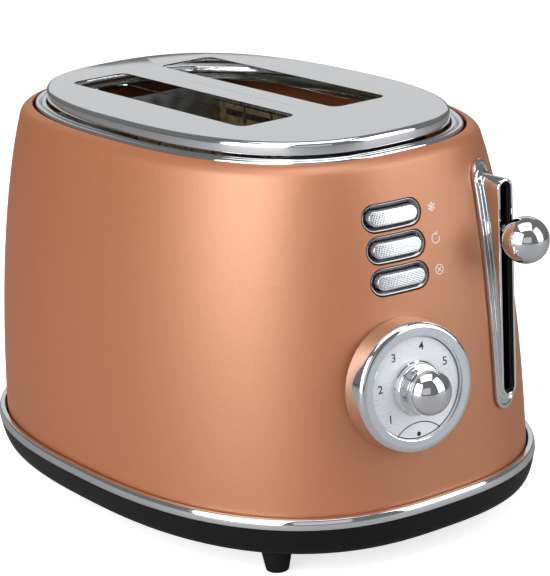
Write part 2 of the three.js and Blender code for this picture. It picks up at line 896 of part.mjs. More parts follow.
function bulkhead(x, tabSide) {
  const [x0, x1] = [x, x + bulkheadSheet];
  let made = box(x0, x1, -bulkheadHalfWidth, bulkheadHalfWidth, bulkheadBottom, bulkheadTop);
  const slotHeight = rackTravel[1] - rackTravel[0] + rackTongueHeight + rackSlotSpare;
  for (const side of Object.values(sides)) {
    const middle = (rackTravel[0] + rackTravel[1] + rackTongueHeight) / 2;
    const slot = pill(side * slotCentreY, middle, rackSlotWidth, slotHeight);
    made = made.subtract(prismX(slot, x0 - 1, x1 + 1));
  }
  for (const { y } of guideY)
    made = made.subtract(
      rod([x0 - 1, y, guidePivotZ], [x1 + 1, y, guidePivotZ], guideRodRadius + runGap),
    );
  // Two feet bent away from the cavity's corners, for the base screws.
  for (const [screwX, screwY] of screwPlaces) {
    if (Math.sign(screwX - slotCentreX) !== Math.sign(x - slotCentreX)) continue;
    const corner = Math.sign(screwY) * bulkheadHalfWidth;
    const [alongX, alongY] = bulkheadFootHalf;
    const [y0, y1] = [Math.min(screwY, corner) - alongY, Math.max(screwY, corner) + alongY];
    const [footX0, footX1] = [Math.min(x0, screwX - alongX), Math.max(x1, screwX + alongX)];
    const flat = box(footX0, footX1, y0, y1, bulkheadBottom, bulkheadBottom + bulkheadSheet);
    const hole = rod([screwX, screwY, 0], [screwX, screwY, baseTopZ + overshoot], screwRadius + runGap);
    made = made.add(flat).subtract(hole);
  }
  if (tabSide === "rear") return made;
  // Ears that hold the guide rod and hang the spring.
  for (const z of [lowerEarZ, upperEarZ]) {
    const ear = box(x1 - 0.5, rodX + earReach, ...earSpanY, z, z + bulkheadSheet);
    made = made.add(ear).subtract(rod([rodX, 0, z - 1], [rodX, 0, z + 3], rodRadius + fitGap));
  }
  return made;
}

const cavityX0 = rearBulkheadX + bulkheadSheet + fitGap;
const cavityX1 = frontBulkheadX - fitGap;

function heatingCard(y) {
  const half = cardThickness / 2;
  return box(cavityX0 + 0.5, cavityX1 - 0.5, y - half, y + half, cardBottom, cardTop);
}

// A flat wire that runs to and fro across a card, as one strip.
function heatingRibbon(y, side) {
  const [x0, x1] = [cavityX0 + ribbonMargin, cavityX1 - ribbonMargin];
  const pitch = (cardTop - cardBottom - 2 * ribbonMargin) / (ribbonRuns - 1);
  const w = ribbonWidth;
  const bottom = cardBottom + ribbonMargin - w / 2;
  const right = [];
  const left = [];
  // The strip's two edges, from the lowest run up.
  for (let i = 0; i < ribbonRuns; i++) {
    const z = bottom + i * pitch;
    if (i % 2 === 0) {
      right.push([x1, z], [x1, z + pitch + w]);
      left.push([x1 - w, z + w], [x1 - w, z + pitch]);
    } else {
      right.push([x0 + w, z + w], [x0 + w, z + pitch]);
      left.push([x0, z], [x0, z + pitch + w]);
    }
  }
  // Each side keeps only the points that belong to whole runs.
  const last = bottom + (ribbonRuns - 1) * pitch;
  const keep = ([, z]) => z <= last + w + 1e-6;
  const outline = [
    [x0, bottom],
    ...right.filter(keep),
    ...(ribbonRuns % 2 === 0 ? [[x0, last + w]] : []),
    ...left.filter(keep).reverse(),
    [x0, bottom + w],
  ];
  const y0 = y + side * (cardThickness / 2 + fitGap);
  const y1 = y0 + side * ribbonThickness;
  return prismY(polygon(outline), Math.min(y0, y1), Math.max(y0, y1));
}

function breadGuide(y) {
  const [x0, x1] = [cavityX0 + guideEndGap, cavityX1 - guideEndGap];
  const pinStart = rearBulkheadX - guidePinReach;
  const pinEnd = frontBulkheadX + bulkheadSheet + guidePinReach;
  let made = rod([pinStart, y, guidePivotZ], [pinEnd, y, guidePivotZ], guideRodRadius, 8);
  made = made.add(rod([x0, y, guideTopZ], [x1, y, guideTopZ], guideRodRadius, 8));
  for (let i = 0; i < guideWires; i++) {
    const x = THREE.MathUtils.lerp(x0 + guideWireMargin, x1 - guideWireMargin, i / (guideWires - 1));
    made = made.add(rod([x, y, guidePivotZ], [x, y, guideTopZ], guideWireRadius, 5));
  }
  return made;
}

add("bulkhead_rear", bulkhead(rearBulkheadX, "rear"), galvanised);
add("bulkhead_control", bulkhead(frontBulkheadX, "control"), galvanised);
for (const [name, side] of Object.entries(sides)) {
  const y0 = side * (bulkheadHalfWidth + fitGap);
  const y1 = y0 + side * sidePanelSheet;
  const [panelLift, panelDrop] = sidePanelInset;
  const panel = box(cavityX0, cavityX1, Math.min(y0, y1), Math.max(y0, y1),
    bulkheadBottom + panelLift, bulkheadTop - panelDrop);
  add(`side_panel_${name}`, panel, galvanised);
  add(`heating_card_${name}`, heatingCard(side * outerCardY), mica);
  add(`heating_ribbon_${name}_outer`, heatingRibbon(side * outerCardY, -side), nichrome);
  add(`heating_ribbon_${name}_inner`, heatingRibbon(0, side), nichrome);
}
add("heating_card_centre", heatingCard(0), mica);
for (const { name, y } of guideY) add(name, breadGuide(y), brightSteel);

// ---------------------------------------------------------------- carriage and lever

// A channel that the bread stands in, with a tongue through each bulkhead.
function breadRack(y) {
  const [half, z] = [rackWidth / 2, rackZ];
  const section = polygon([
    [y - half, z],
    [y + half, z],
    [y + half, z + rackLip],
    [y + half - rackSheet, z + rackLip],
    [y + half - rackSheet, z + rackSheet],
    [y - half + rackSheet, z + rackSheet],
    [y - half + rackSheet, z + rackLip],
    [y - half, z + rackLip],
  ]);
  const tongue = rackTongueWidth / 2;
  const [x0, x1] = [slotStartX + rackEndGap, slotEndX - rackEndGap];
  return prismX(section, x0, x1)
    .add(box(rearBulkheadX - rackTongueReach, x0 + 1, y - tongue, y + tongue, z, z + rackTongueHeight))
    .add(box(x1 - 1, bracketX - fitGap, y - tongue, y + tongue, z, z + rackTongueHeight));
}

// When the carriage is down the armature lies just over the magnet's pole.
const armatureTopZ = magnetTopZ + armatureAir + leverDown + armatureSheet;
const hookZ = rackZ + springHookRise;

function carriageBracket() {
  const [x0, x1] = [bracketX, bracketX + bracketSheet];
  const [low, high] = [rackZ - bracketDrop, rackZ + bracketRise];
  const armY1 = leverY + bracketMargin;
  const [tabY0, tabY1] = [magnetY - latchTabHalfWidth, magnetY + latchTabHalfWidth];
  const tabZ = armatureTopZ + fitGap;
  const [hookY0, hookY1] = [springY - springHookHalf, springY + springHookHalf];
  let made = box(x0, x1, -slotCentreY - bracketMargin, armY1, low, high)
    .add(box(x0, x1, armY1 - bracketArmWidth, armY1, low, leverZ + bladeHeight))
    .add(rod([rodX, 0, low], [rodX, 0, low + sleeveHeight], sleeveRadius, 16))
    .add(box(x1 - 0.5, rodX, -bracketRibHalf, bracketRibHalf, low, high))
    .add(box(x0, rodX + springRadius - 0.5, hookY0, hookY1, hookZ, hookZ + bracketSheet))
    .add(box(x0, x1, tabY0, tabY1, high - 1, tabZ + bracketSheet))
    .add(box(x0, rodX + armatureSpanX[1], tabY0, tabY1, tabZ, tabZ + bracketSheet));
  return made.subtract(
    rod([rodX, 0, low - 1], [rodX, 0, low + sleeveHeight + 1], rodRadius + runGap, 16),
  );
}

function leverArm() {
  const [x0, neckX] = [bracketX + bracketSheet + fitGap, loopFrontX - 1];
  const [half, high] = [bladeThickness / 2, bladeHeight / 2];
  const neckEndX = knobBallX - knobSocketStop - fitGap;
  const neckRadius = Math.min(knobNeckRadius, linerSlotWidth() / 2 - runGap);
  return box(x0, neckX, leverY - half, leverY + half, leverZ - high, leverZ + high)
    .add(box(x0, x0 + bracketSheet, leverY - bladeFootWidth, leverY + half, leverZ - high, leverZ + high))
    .add(rod([neckX - neckOverlap, leverY, leverZ], [neckEndX, leverY, leverZ], neckRadius, 16));
}

function linerSlotWidth() {
  return slotOpening.width - 2 * (fitGap + linerWall);
}

function leverKnob() {
  const ball = new THREE.SphereGeometry(knobBallRadius, 18, 10);
  ball.translate(knobBallX, leverY, leverZ);
  const [mouthX, stopX] = [knobBallX - knobBallRadius - 1, knobBallX - knobSocketStop];
  const socket = rod([mouthX, leverY, leverZ], [stopX, leverY, leverZ], knobNeckRadius + fitGap, 16);
  return solid(ball).subtract(socket);
}

for (const [name, side] of Object.entries(sides))
  add(`bread_rack_${name}`, breadRack(side * slotCentreY), brightSteel);
add("carriage_bracket", carriageBracket(), galvanised);
add("lever_arm", leverArm(), brightSteel);
add("lever_knob", leverKnob(), chrome);
const armature = box(rodX + armatureSpanX[0], rodX + armatureSpanX[1], magnetY - armatureHalfWidth,
  magnetY + armatureHalfWidth, armatureTopZ - armatureSheet, armatureTopZ);
add("latch_armature", armature, brightSteel);
const guideRod = rod([rodX, 0, baseFloorZ + fitGap], [rodX, 0, upperEarZ + rodOverhang], rodRadius, 16);
add("guide_rod", guideRod, brightSteel);

// Extension spring between the upper ear and the carriage's hook.
function liftSpring() {
  const [low, high] = [hookZ + bracketSheet + fitGap, upperEarZ - fitGap];
  const stepsPerTurn = 8;
  const points = [];
  for (let i = 0; i <= springTurns * stepsPerTurn; i++) {
    const t = i / (springTurns * stepsPerTurn);
    const angle = 2 * Math.PI * springTurns * t;
    const z = THREE.MathUtils.lerp(low + springWireRadius, high - springWireRadius, t);
    points.push(new THREE.Vector3(
      rodX + springRadius * Math.cos(angle),
      springY + springRadius * Math.sin(angle),
      z,
    ));
  }
  const section = new THREE.Shape();
  section.absarc(0, 0, springWireRadius, 0, 2 * Math.PI, false);
  return solid(new THREE.ExtrudeGeometry(section, {
    steps: springTurns * stepsPerTurn,
    extrudePath: new THREE.CatmullRomCurve3(points),
    curveSegments: 3,
    bevelEnabled: false,
  }));
}

add("lift_spring", liftSpring(), brightSteel);

// ---------------------------------------------------------------- latch magnet, switch, wiring

function magnetCore() {
  const floor = baseFloorZ + fitGap;
  const [x0, x1] = [rodX + magnetSpanX[0], rodX + magnetSpanX[1]];
  const poleX = rodX + magnetPoleX;
  return box(x0, x1, magnetY - magnetHalfWidth, magnetY + magnetHalfWidth, floor, floor + magnetSheet)
    .add(rod([poleX, magnetY, floor + 1], [poleX, magnetY, magnetTopZ], magnetPoleRadius, 16))
    .add(box(x1 - magnetYokeSheet, x1, magnetY - yokeHalfWidth, magnetY + yokeHalfWidth,
      floor, magnetTopZ));
}

function magnetCoil() {
  const [low, high] = [baseFloorZ + fitGap + magnetSheet + fitGap, coilTopZ];
  const x = rodX + magnetPoleX;
  const tube = (radius, z0, z1) => rod([x, magnetY, z0], [x, magnetY, z1], radius, 20);
  return tube(coilRadius, low, high)
    .add(tube(coilFlangeRadius, low, low + coilFlangeSheet))
    .add(tube(coilFlangeRadius, high - coilFlangeSheet, high))
    .subtract(tube(magnetPoleRadius + fitGap, low - 1, high + 1));
}

add("latch_magnet_core", magnetCore(), galvanised);
add("latch_magnet_coil", magnetCoil(), copperWinding);

const switchEndX = rodX + switchSpanX[1];
add(
  "power_switch",
  box(rodX + switchSpanX[0], switchEndX, ...switchSpanY, baseFloorZ + fitGap, switchTopZ),
  blackPlastic,
);
const [terminalX0, terminalX1] = terminalFromBulkhead.map((step) => rearBulkheadX + step);
const [terminalY0, terminalY1] = terminalFromEdge.map((step) => bulkheadHalfWidth + step);
add(
  "terminal_block",
  box(terminalX0, terminalX1, terminalY0, terminalY1, baseFloorZ + fitGap, terminalTopZ),
  silverLens,
);

const leadPitch = 2 * leadRadius + runGap;

// Insulated lead along the base, from the terminal block to the power switch. Level 0 is the lower one.
function lead(level) {
  const z = baseFloorZ + leadRadius + leadRise + level * leadPitch;
  const side = bulkheadHalfWidth;
  const route = [
    [terminalX1 + leadGap, side + 4],
    [rearBulkheadX + 2.2, side + 10],
    [rearBulkheadX + 18.2, side + 19],
    [-30, side + 26],
    [20, side + 26],
    [rodX - 18, side + 19],
    [rodX + 12, side],
    [rodX + 28, 26],
    [rodX + 31, 0],
    [rodX + 25, -22],
    [switchEndX + leadGap, -28],
  ];
  const section = new THREE.Shape();
  section.absarc(0, 0, leadRadius, 0, 2 * Math.PI, false);
  return solid(new THREE.ExtrudeGeometry(section, {
    steps: leadSteps,
    extrudePath: new THREE.CatmullRomCurve3(route.map(([x, y]) => new THREE.Vector3(x, y, z))),
    curveSegments: 3,
    bevelEnabled: false,
  }));
}

add("lead_live", lead(0), redSleeve);
add("lead_neutral", lead(1), blueSleeve);

// ---------------------------------------------------------------- control board and buttons

const boardFaceX = boardX + boardSheet;

function controlBoard() {
  const root = boardFaceX - boardRoot;
  let made = box(boardX, boardFaceX, ...boardSpanY, ...boardSpanZ);
  for (const z of buttonZ)
    made = made.add(box(root, boardFaceX + switchReach, buttonY - switchHalf, buttonY + switchHalf,
      z - switchHalf, z + switchHalf));
  boardPartPlaces.forEach(([y, z], i) => {
    const size = boardPartSizes[i];
    made = made.add(rod([root, y, z], [boardFaceX + size, y, z], size / 2, 12));
  });
  return made;
}

// An angle bracket from the front bulkhead to the back of the board.
function boardBracket() {
  const [y0] = boardSpanY;
  const x1 = boardX - fitGap;
  const x0 = frontBulkheadX + bulkheadSheet + fitGap;
  return box(x0, x1, y0, y0 + boardFoldSheet, ...boardSpanZ)
    .add(box(x1 - boardFoldSheet, x1, y0, y0 + boardFoldWidth, ...boardSpanZ));
}

function buttonCap(z) {
  const shape = pill(buttonY, z, capLength, capHeight);
  const stemX = boardFaceX + switchReach + buttonTravel + fitGap;
  const stem = rod([stemX, buttonY, z], [frameBackX + frameSheet, buttonY, z], buttonStemRadius, 12);
  return prismX(shape, frameBackX - buttonRoot, bandHalfLength).intersect(filledBody(capProud)).add(stem);
}

function buttonFrame() {
  const middle = (buttonZ[0] + buttonZ.at(-1)) / 2;
  const plate = roundedRectangle(buttonY, middle, frameLength + 2 * frameMargin,
    buttonZ[0] - buttonZ.at(-1) + frameHeight + 2 * frameMargin, frameCorner);
  let made = prismX(plate, frameBackX, frameBackX + frameSheet);
  const body = filledBody(-frameSink);
  for (const z of buttonZ)
    made = made.add(prismX(pill(buttonY, z, frameLength, frameHeight), frameBackX + 1, bandHalfLength)
      .intersect(body));
  for (const z of buttonZ) {
    const hole = pill(buttonY, z, capLength + 2 * capGap, capHeight + 2 * capGap);
    made = made.subtract(prismX(hole, frameBackX - 1, bandHalfLength + overshoot));
  }
  return made;
}

add("control_board", controlBoard(), boardGreen);
add("board_bracket", boardBracket(), galvanised);
add("button_frame", buttonFrame(), chrome);
buttonNames.forEach((name, i) => add(`button_${name}`, buttonCap(buttonZ[i]), silverLens));

// ---------------------------------------------------------------- browning dial

const dial = localFrame(dialPoint, dialNormal);
dial.updateMatrixWorld(true);
const dialSegments = 32;

// A flat-backed ring on a smaller boss, which is cut to the body that it stands on.
function dialBezel() {
  const edgeRise = dialRimDepth - dialShoulderDepth;
  const [lipRun, lipDrop] = dialRimLip;
  const [floorBack, floorFront] = dialFloor;
  const ring = lathe([
    [bushingRadius + runGap, floorBack],
    [dialBossRadius - dialWall, floorBack],
    [dialBossRadius - dialWall, -dialBossDepth],
    [dialBossRadius, -dialBossDepth],
    [dialBossRadius, -dialBackDepth],
    [dialOuterRadius, -dialBackDepth],
    [dialShoulderRadius, dialShoulderDepth],
    [dialShoulderRadius - 0.35 * dialEdgeRun, dialShoulderDepth + 0.75 * edgeRise],
    [dialShoulderRadius - dialEdgeRun, dialRimDepth],
    [dialRimRadius, dialRimDepth],
    [dialRimRadius - lipRun, dialRimDepth - lipDrop],
    [dialRimRadius - lipRun, floorFront],
    [bushingRadius + runGap, floorFront],
    [bushingRadius + runGap, floorBack],
  ], dialSegments);
  const intoDial = dial.matrixWorld.clone().invert();
  const body = geometryOf(filledBody(fitGap)).applyMatrix4(intoDial);
  return ring.subtract(solid(body));
}

function dialFace() {
  const [high, low] = [dialFaceDepth, dialFaceDepth - dialFaceSheet];
  const edge = dialRimRadius - dialRimLip[0] - fitGap;
  const bore = bushingRadius - faceHubLap;
  const hubBack = dialFloor[1] + fitGap;
  return lathe([
    [bore, hubBack],
    [bore + faceHubWidth, hubBack],
    [bore + faceHubWidth, low],
    [edge, low],
    [edge, high],
    [bore, high],
    [bore, hubBack],
  ], dialSegments);
}

// Collar, waist and dome, with a blind bore for the shaft.
function browningKnob() {
  const start = dialFaceDepth + runGap;
  const bore = shaftRadius + fitGap;
  const domeSteps = 6;
  const dome = Array.from({ length: domeSteps }, (_, i) => {
    const angle = (i / domeSteps) * (Math.PI / 2);
    return [knobDomeRadius * Math.cos(angle), knobDomeDepth + knobDomeHeight * Math.sin(angle)];
  });
  return lathe([
    [0, knobDomeDepth - knobUnderDrop],
    [bore, knobDomeDepth - knobUnderDrop],
    [bore, start],
    [knobBaseRadius, start],
    [0.94 * knobBaseRadius, start + knobCollarHeight],
    [0.8 * knobBaseRadius, start + knobCollarHeight + 0.6],
    [0.55 * knobBaseRadius, start + knobCollarHeight + 1.4],
    [0.6 * knobDomeRadius, knobDomeDepth - knobWaistDrop],
    [0.93 * knobDomeRadius, knobDomeDepth - knobUnderDrop],
    ...dome,
    [0, knobDomeDepth + knobDomeHeight],
  ], 24);
}

function browningPot() {
  const bore = shaftRadius + runGap;
  const [back, front] = potSpan;
  return lathe([
    [bore, -back],
    [potRadius, -back],
    [potRadius, -front],
    [bushingRadius, -front],
    [bushingRadius, -potTip],
    [bore, -potTip],
    [bore, -back],
  ], 24);
}

add("dial_bezel", dialBezel(), chrome, dial);
add("dial_face", dialFace(), silverFace, dial);
add("browning_knob", browningKnob(), chrome, dial);
add("browning_pot", browningPot(), blackPlastic, dial);
const shaftEnd = knobDomeDepth - knobUnderDrop - 2 * fitGap;
add("pot_shaft", rod([0, 0, -shaftTail], [0, 0, shaftEnd], shaftRadius, 16), brightSteel, dial);

// ---------------------------------------------------------------- lever escutcheon

function leverEscutcheon() {
  const flange = prismX(
    pill(leverY, (flangeBottom + flangeTop) / 2, flangeWidth, flangeTop - flangeBottom),
    insideEndX, bandHalfLength + overshoot).intersect(filledBody(flangeProud));
  const wedge = prismX(pill(leverY, slotMiddleZ, loopWidth, loopHeight), insideEndX, loopFrontX);
  const hole = prismX(pill(leverY, slotMiddleZ, slotOpening.width, slotOpening.height),
    insideEndX - 1, loopFrontX + overshoot);
  return flange.add(wedge).subtract(filledBody(fitGap)).subtract(hole);
}

// Black channel inside the slot. It starts behind the shell, where a flange holds it.
function leverSlotLiner() {
  const outer = { width: slotOpening.width - 2 * fitGap, height: slotOpening.height - 2 * fitGap };
  const inner = { width: linerSlotWidth(), height: outer.height - 2 * linerWall };
  const hole = pill(leverY, slotMiddleZ, inner.width, inner.height);
  return prismX(pill(leverY, slotMiddleZ, outer.width, outer.height),
    bandHalfLength - linerDepth, loopFrontX - 1)
    .subtract(prismX(hole, insideEndX, loopFrontX + overshoot));
}

add("lever_escutcheon", leverEscutcheon(), chrome);
add("lever_slot_liner", leverSlotLiner(), blackPlastic);

// ---------------------------------------------------------------- place the origin

const bounds = new THREE.Box3().setFromObject(toaster, true);
toaster.position.x = -(bounds.min.x + bounds.max.x) / 2;

export default toaster;
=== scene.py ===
# %% [markdown]
# # A pop-up toaster in copper and chrome
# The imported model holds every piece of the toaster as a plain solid, with its joints. This lesson puts
# fine surfaces over the pieces that are seen, and gives every piece its real finish.
# The frame comes first, because every size and place below is read from it.

# %% Load the frame
import math

import bmesh
import bpy
import numpy as np
from mathutils import Matrix, Vector


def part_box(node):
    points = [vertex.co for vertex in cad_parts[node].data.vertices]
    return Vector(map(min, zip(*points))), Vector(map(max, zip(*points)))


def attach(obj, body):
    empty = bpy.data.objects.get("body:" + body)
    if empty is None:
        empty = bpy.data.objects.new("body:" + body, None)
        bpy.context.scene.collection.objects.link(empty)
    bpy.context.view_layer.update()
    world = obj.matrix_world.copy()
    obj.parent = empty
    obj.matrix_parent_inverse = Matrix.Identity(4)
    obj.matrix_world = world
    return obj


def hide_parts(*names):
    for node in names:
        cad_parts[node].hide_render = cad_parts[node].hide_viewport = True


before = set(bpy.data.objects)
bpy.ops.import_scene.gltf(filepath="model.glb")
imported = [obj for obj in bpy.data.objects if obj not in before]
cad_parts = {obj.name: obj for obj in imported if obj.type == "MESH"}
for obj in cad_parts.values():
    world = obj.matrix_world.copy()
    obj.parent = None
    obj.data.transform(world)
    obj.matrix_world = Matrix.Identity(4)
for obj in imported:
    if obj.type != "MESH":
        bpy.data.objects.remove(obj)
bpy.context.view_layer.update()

mm = 0.001

# %% [markdown]
# ## The camera
# A product photographer stands well back with a long lens, so that the oval body isn't distorted. The
# camera here orbits a point low in the middle of the body, then turns a little to frame the toaster.

# %% Camera
shell_low, shell_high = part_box("outer_shell")
centre_x = (shell_low.x + shell_high.x) / 2
orbit_azimuth, orbit_elevation, orbit_distance = math.radians(54.83), math.radians(19.9), 1.1405
orbit_height = 0.0296
look_azimuth, look_elevation, look_roll = math.radians(54.2), math.radians(16.83), math.radians(-2.86)
lens_mm, near, far = 146.1, 0.05, 50


def away(azimuth, elevation):
    """Unit vector from the object to a viewer. Azimuth 0 is in front (-Y) and turns towards +X."""
    flat = math.cos(elevation)
    return Vector((math.sin(azimuth) * flat, -math.cos(azimuth) * flat, math.sin(elevation)))


def make_camera():
    back = away(look_azimuth, look_elevation)
    right = Vector((math.cos(look_azimuth), math.sin(look_azimuth), 0))
    up = back.cross(right)
    c, s = math.cos(look_roll), math.sin(look_roll)
    right, up = c * right + s * up, c * up - s * right
    data = bpy.data.cameras.new("camera")
    data.lens = lens_mm
    data.clip_start, data.clip_end = near, far
    camera = bpy.data.objects.new("camera", data)
    camera.matrix_world = Matrix((right, up, back)).transposed().to_4x4()
    middle = Vector((centre_x, 0, orbit_height))
    camera.location = middle + orbit_distance * away(orbit_azimuth, orbit_elevation)
    bpy.context.scene.collection.objects.link(camera)
    bpy.context.scene.camera = camera
    return camera


print("camera at", [round(v, 3) for v in make_camera().location])

# %% [markdown]
# ## Meshes from arrays
# Most of the toaster is rows of points: an outline, repeated while its size and height change. A helper
# turns rows and columns of points into faces, and others close its ends, join and cut meshes, and give
# a mesh to the frame as a piece.

# %% Grid and piece helpers
sharp_angle = math.radians(32)
same_point, no_edge = 1e-6, 1e-7


def shaded(mesh):
    """Shades smooth, and keeps an edge sharp where its two faces turn by more than sharp_angle."""
    mesh.shade_smooth()
    mesh.set_sharp_from_angle(angle=sharp_angle)
    return mesh


def tidy(mesh):
    """Merges doubled points, points the faces outwards, and shades the mesh."""
    work = bmesh.new()
    work.from_mesh(mesh)
    bmesh.ops.remove_doubles(work, verts=work.verts, dist=same_point)
    bmesh.ops.dissolve_degenerate(work, edges=work.edges, dist=no_edge)
    bmesh.ops.recalc_face_normals(work, faces=work.faces)
    work.to_mesh(mesh)
    work.free()
    return shaded(mesh)


def grid(points, wrap_rows=False, wrap_columns=True):
    """A mesh over an array of points, rows by columns by 3. A wrapped direction joins its last line to
    its first one. Rows whose points all meet close a pole."""
    rows, columns = points.shape[:2]
    r = np.arange(rows if wrap_rows else rows - 1)[:, None]
    c = np.arange(columns if wrap_columns else columns - 1)[None, :]
    r1, c1 = (r + 1) % rows, (c + 1) % columns
    corners = (r * columns + c, r * columns + c1, r1 * columns + c1, r1 * columns + c)
    faces = np.stack(corners, -1).reshape(-1, 4)
    mesh = bpy.data.meshes.new("grid")
    mesh.from_pydata(points.reshape(-1, 3).tolist(), [], faces.tolist())
    return tidy(mesh)


def capped(rows):
    """A closed mesh: before the first row and after the last one stands a pole at that row's middle."""
    poles = [np.broadcast_to(rows[k].mean(0), rows[k].shape)[None] for k in (0, -1)]
    return grid(np.concatenate([poles[0], rows, poles[1]]))


def joined(*meshes):
    """One mesh of several."""
    work = bmesh.new()
    for mesh in meshes:
        work.from_mesh(mesh)
    result = bpy.data.meshes.new("joined")
    work.to_mesh(result)
    work.free()
    return shaded(result)


def piece(name, mesh, body, material, stands_for=()):
    """Makes a mesh a piece of the toaster, on a body of the frame."""
    mesh.name = name
    obj = bpy.data.objects.new(name, mesh)
    bpy.context.scene.collection.objects.link(obj)
    mesh.materials.clear()
    mesh.materials.append(material)
    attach(obj, body)
    if stands_for:
        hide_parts(*stands_for)
    print(f"{name}: {len(mesh.polygons)} faces")
    return obj


def carved(mesh, cutters, operation="DIFFERENCE"):
    """The mesh after each cutter mesh is taken from it, or after it is kept only inside them."""
    target = bpy.data.objects.new("carved", mesh)
    tool = bpy.data.objects.new("cutter", joined(*cutters))
    for obj in (target, tool):
        bpy.context.scene.collection.objects.link(obj)
    step = target.modifiers.new("cut", "BOOLEAN")
    step.object, step.operation, step.solver = tool, operation, "EXACT"
    evaluated = target.evaluated_get(bpy.context.evaluated_depsgraph_get())
    result = bpy.data.meshes.new_from_object(evaluated)
    for obj in (target, tool):
        bpy.data.objects.remove(obj)
    return shaded(result)


# %% [markdown]
# ## Finishes
# Each finish starts from what the real surface is. Colours are written as sRGB hex values, the way a
# paint chart gives them, and one function turns them to the linear values that the shader wants.
# Every pattern is measured in millimetres on the object, through Object coordinates.

# %% Material helpers


def linear(hex_colour):
    """sRGB hex to linear RGBA: (c + 0.055) / 1.055 to the power 2.4, or c / 12.92 near black."""
    srgb = np.array([int(hex_colour[i : i + 2], 16) for i in (1, 3, 5)]) / 255
    rgb = np.where(srgb <= 0.04045, srgb / 12.92, ((srgb + 0.055) / 1.055) ** 2.4)
    return (*rgb.tolist(), 1.0)


def add_node(tree, kind, values=None, feeds=None, **settings):
    """Adds a node, sets its properties and its input values, and links outputs to its inputs."""
    made = tree.nodes.new(kind)
    for name, value in settings.items():
        setattr(made, name, value)
    for name, value in (values or {}).items():
        made.inputs[name].default_value = value
    for name, output in (feeds or {}).items():
        tree.links.new(output, made.inputs[name])
    return made


def new_material(name, colour, roughness, metallic=0.0, **values):
    """A Principled material with its shader's own values set. Returns material, tree and shader."""
    material = bpy.data.materials.new(name)
    material.use_nodes = True
    tree = material.node_tree
    shader = tree.nodes["Principled BSDF"]
    settings = {"Base Color": linear(colour), "Roughness": roughness, "Metallic": metallic, **values}
    for key, value in settings.items():
        shader.inputs[key].default_value = value
    return material, tree, shader


def per_metre(size_mm):
    """Texture scale for a pattern whose cells are about this many millimetres wide."""
    return 1 / (size_mm * mm)


def mottled(tree, shader, socket, size_mm, low, high, detail=3.0, stretch=None, cells=False,
            relief_mm=0.0, relief=1.0):
    """Feeds a socket with noise, or with cells, of a real size, mapped between two values or two
    colours. With a relief, the same pattern raises the surface by up to that depth."""
    place = add_node(tree, "ShaderNodeTexCoord").outputs["Object"]
    if stretch:
        place = add_node(tree, "ShaderNodeMapping", {"Scale": stretch}, {"Vector": place}).outputs[0]
    scale = {"Scale": per_metre(size_mm)}
    if cells:
        source = add_node(tree, "ShaderNodeTexVoronoi", scale, {"Vector": place}).outputs["Distance"]
    else:
        scale["Detail"] = detail
        source = add_node(tree, "ShaderNodeTexNoise", scale, {"Vector": place}).outputs["Fac"]
    if isinstance(low, str):
        ramp = add_node(tree, "ShaderNodeValToRGB", feeds={"Fac": source})
        for stop, position, colour in zip(ramp.color_ramp.elements, (0.35, 0.65), (low, high)):
            stop.position, stop.color = position, linear(colour)
        tree.links.new(ramp.outputs["Color"], shader.inputs[socket])
    else:
        spread = {"From Min": 0.3, "From Max": 0.7, "To Min": low, "To Max": high}
        mapped = add_node(tree, "ShaderNodeMapRange", spread, {"Value": source})
        tree.links.new(mapped.outputs["Result"], shader.inputs[socket])
    if relief_mm:
        bump = add_node(tree, "ShaderNodeBump", {"Strength": relief, "Distance": relief_mm * mm},
                        {"Height": source})
        tree.links.new(bump.outputs["Normal"], shader.inputs["Normal"])


def finish(name, colour, roughness, metallic, *patterns, **values):
    """A material with patterns over it. Each pattern is (socket, size in mm, low, high, options)."""
    material, tree, shader = new_material(name, colour, roughness, metallic, **values)
    for socket, size_mm, low, high, *options in patterns:
        mottled(tree, shader, socket, size_mm, low, high, **(options[0] if options else {}))
    return material


# %% [markdown]
# ### Copper lacquer
# The body is pressed steel, sprayed with a copper lacquer full of fine aluminium flakes and stoved. The
# pigment keeps the shaded sides deep in colour, and the flakes give a soft, wide highlight with a faint
# grain. Two shaders are mixed for them. The real flakes are finer than the picture can show, so their
# grain is drawn 0.6 mm wide.

# %% Copper lacquer
flake_share = 0.23


def copper_lacquer():
    material, tree, pigment = new_material("copper_flake_lacquer", "#b45b24", 0.46, 0.3)
    mottled(tree, pigment, "Base Color", 0.45, "#ac5522", "#bc632e", detail=2.0)
    flake = add_node(tree, "ShaderNodeBsdfPrincipled", {"Base Color": linear("#eedabf"), "Metallic": 1.0})
    mottled(tree, flake, "Roughness", 0.6, 0.48, 0.56, detail=2.0, relief_mm=0.012, relief=0.6)
    blend = add_node(tree, "ShaderNodeMixShader", {"Fac": flake_share},
                     {1: pigment.outputs["BSDF"], 2: flake.outputs["BSDF"]})
    tree.links.new(blend.outputs["Shader"], tree.nodes["Material Output"].inputs["Surface"])
    return material


# %% [markdown]
# ### Chrome plate
# Bright chrome over polished steel or moulded plastic. It is almost a mirror, so it shows the studio.
# Wiping leaves a faint haze, which is a slow change in roughness, over about 22 mm.

# %% Chrome, its satin sister, and the darker chrome of the button surrounds


def chrome_plate(name, colour, low, high):
    return finish(name, colour, low, 1.0, ("Roughness", 22, low, high, {"detail": 4.0}))


# %% [markdown]
# ### Plastics, rubber and print
# The base is moulded polypropylene with a fine spark-eroded grain. The feet are rubber, which is
# duller. The dial's numbers and the marks by the buttons are pad-printed ink.

# %% Plastics, rubber and print


def grained_plastic(name, colour, roughness, grain_mm, depth_mm):
    relief = {"relief_mm": depth_mm, "relief": 0.5}
    grain = ("Roughness", grain_mm, roughness - 0.05, roughness + 0.06, relief)
    return finish(name, colour, roughness, 0.0, grain, **{"IOR": 1.49, "Specular IOR Level": 0.3})


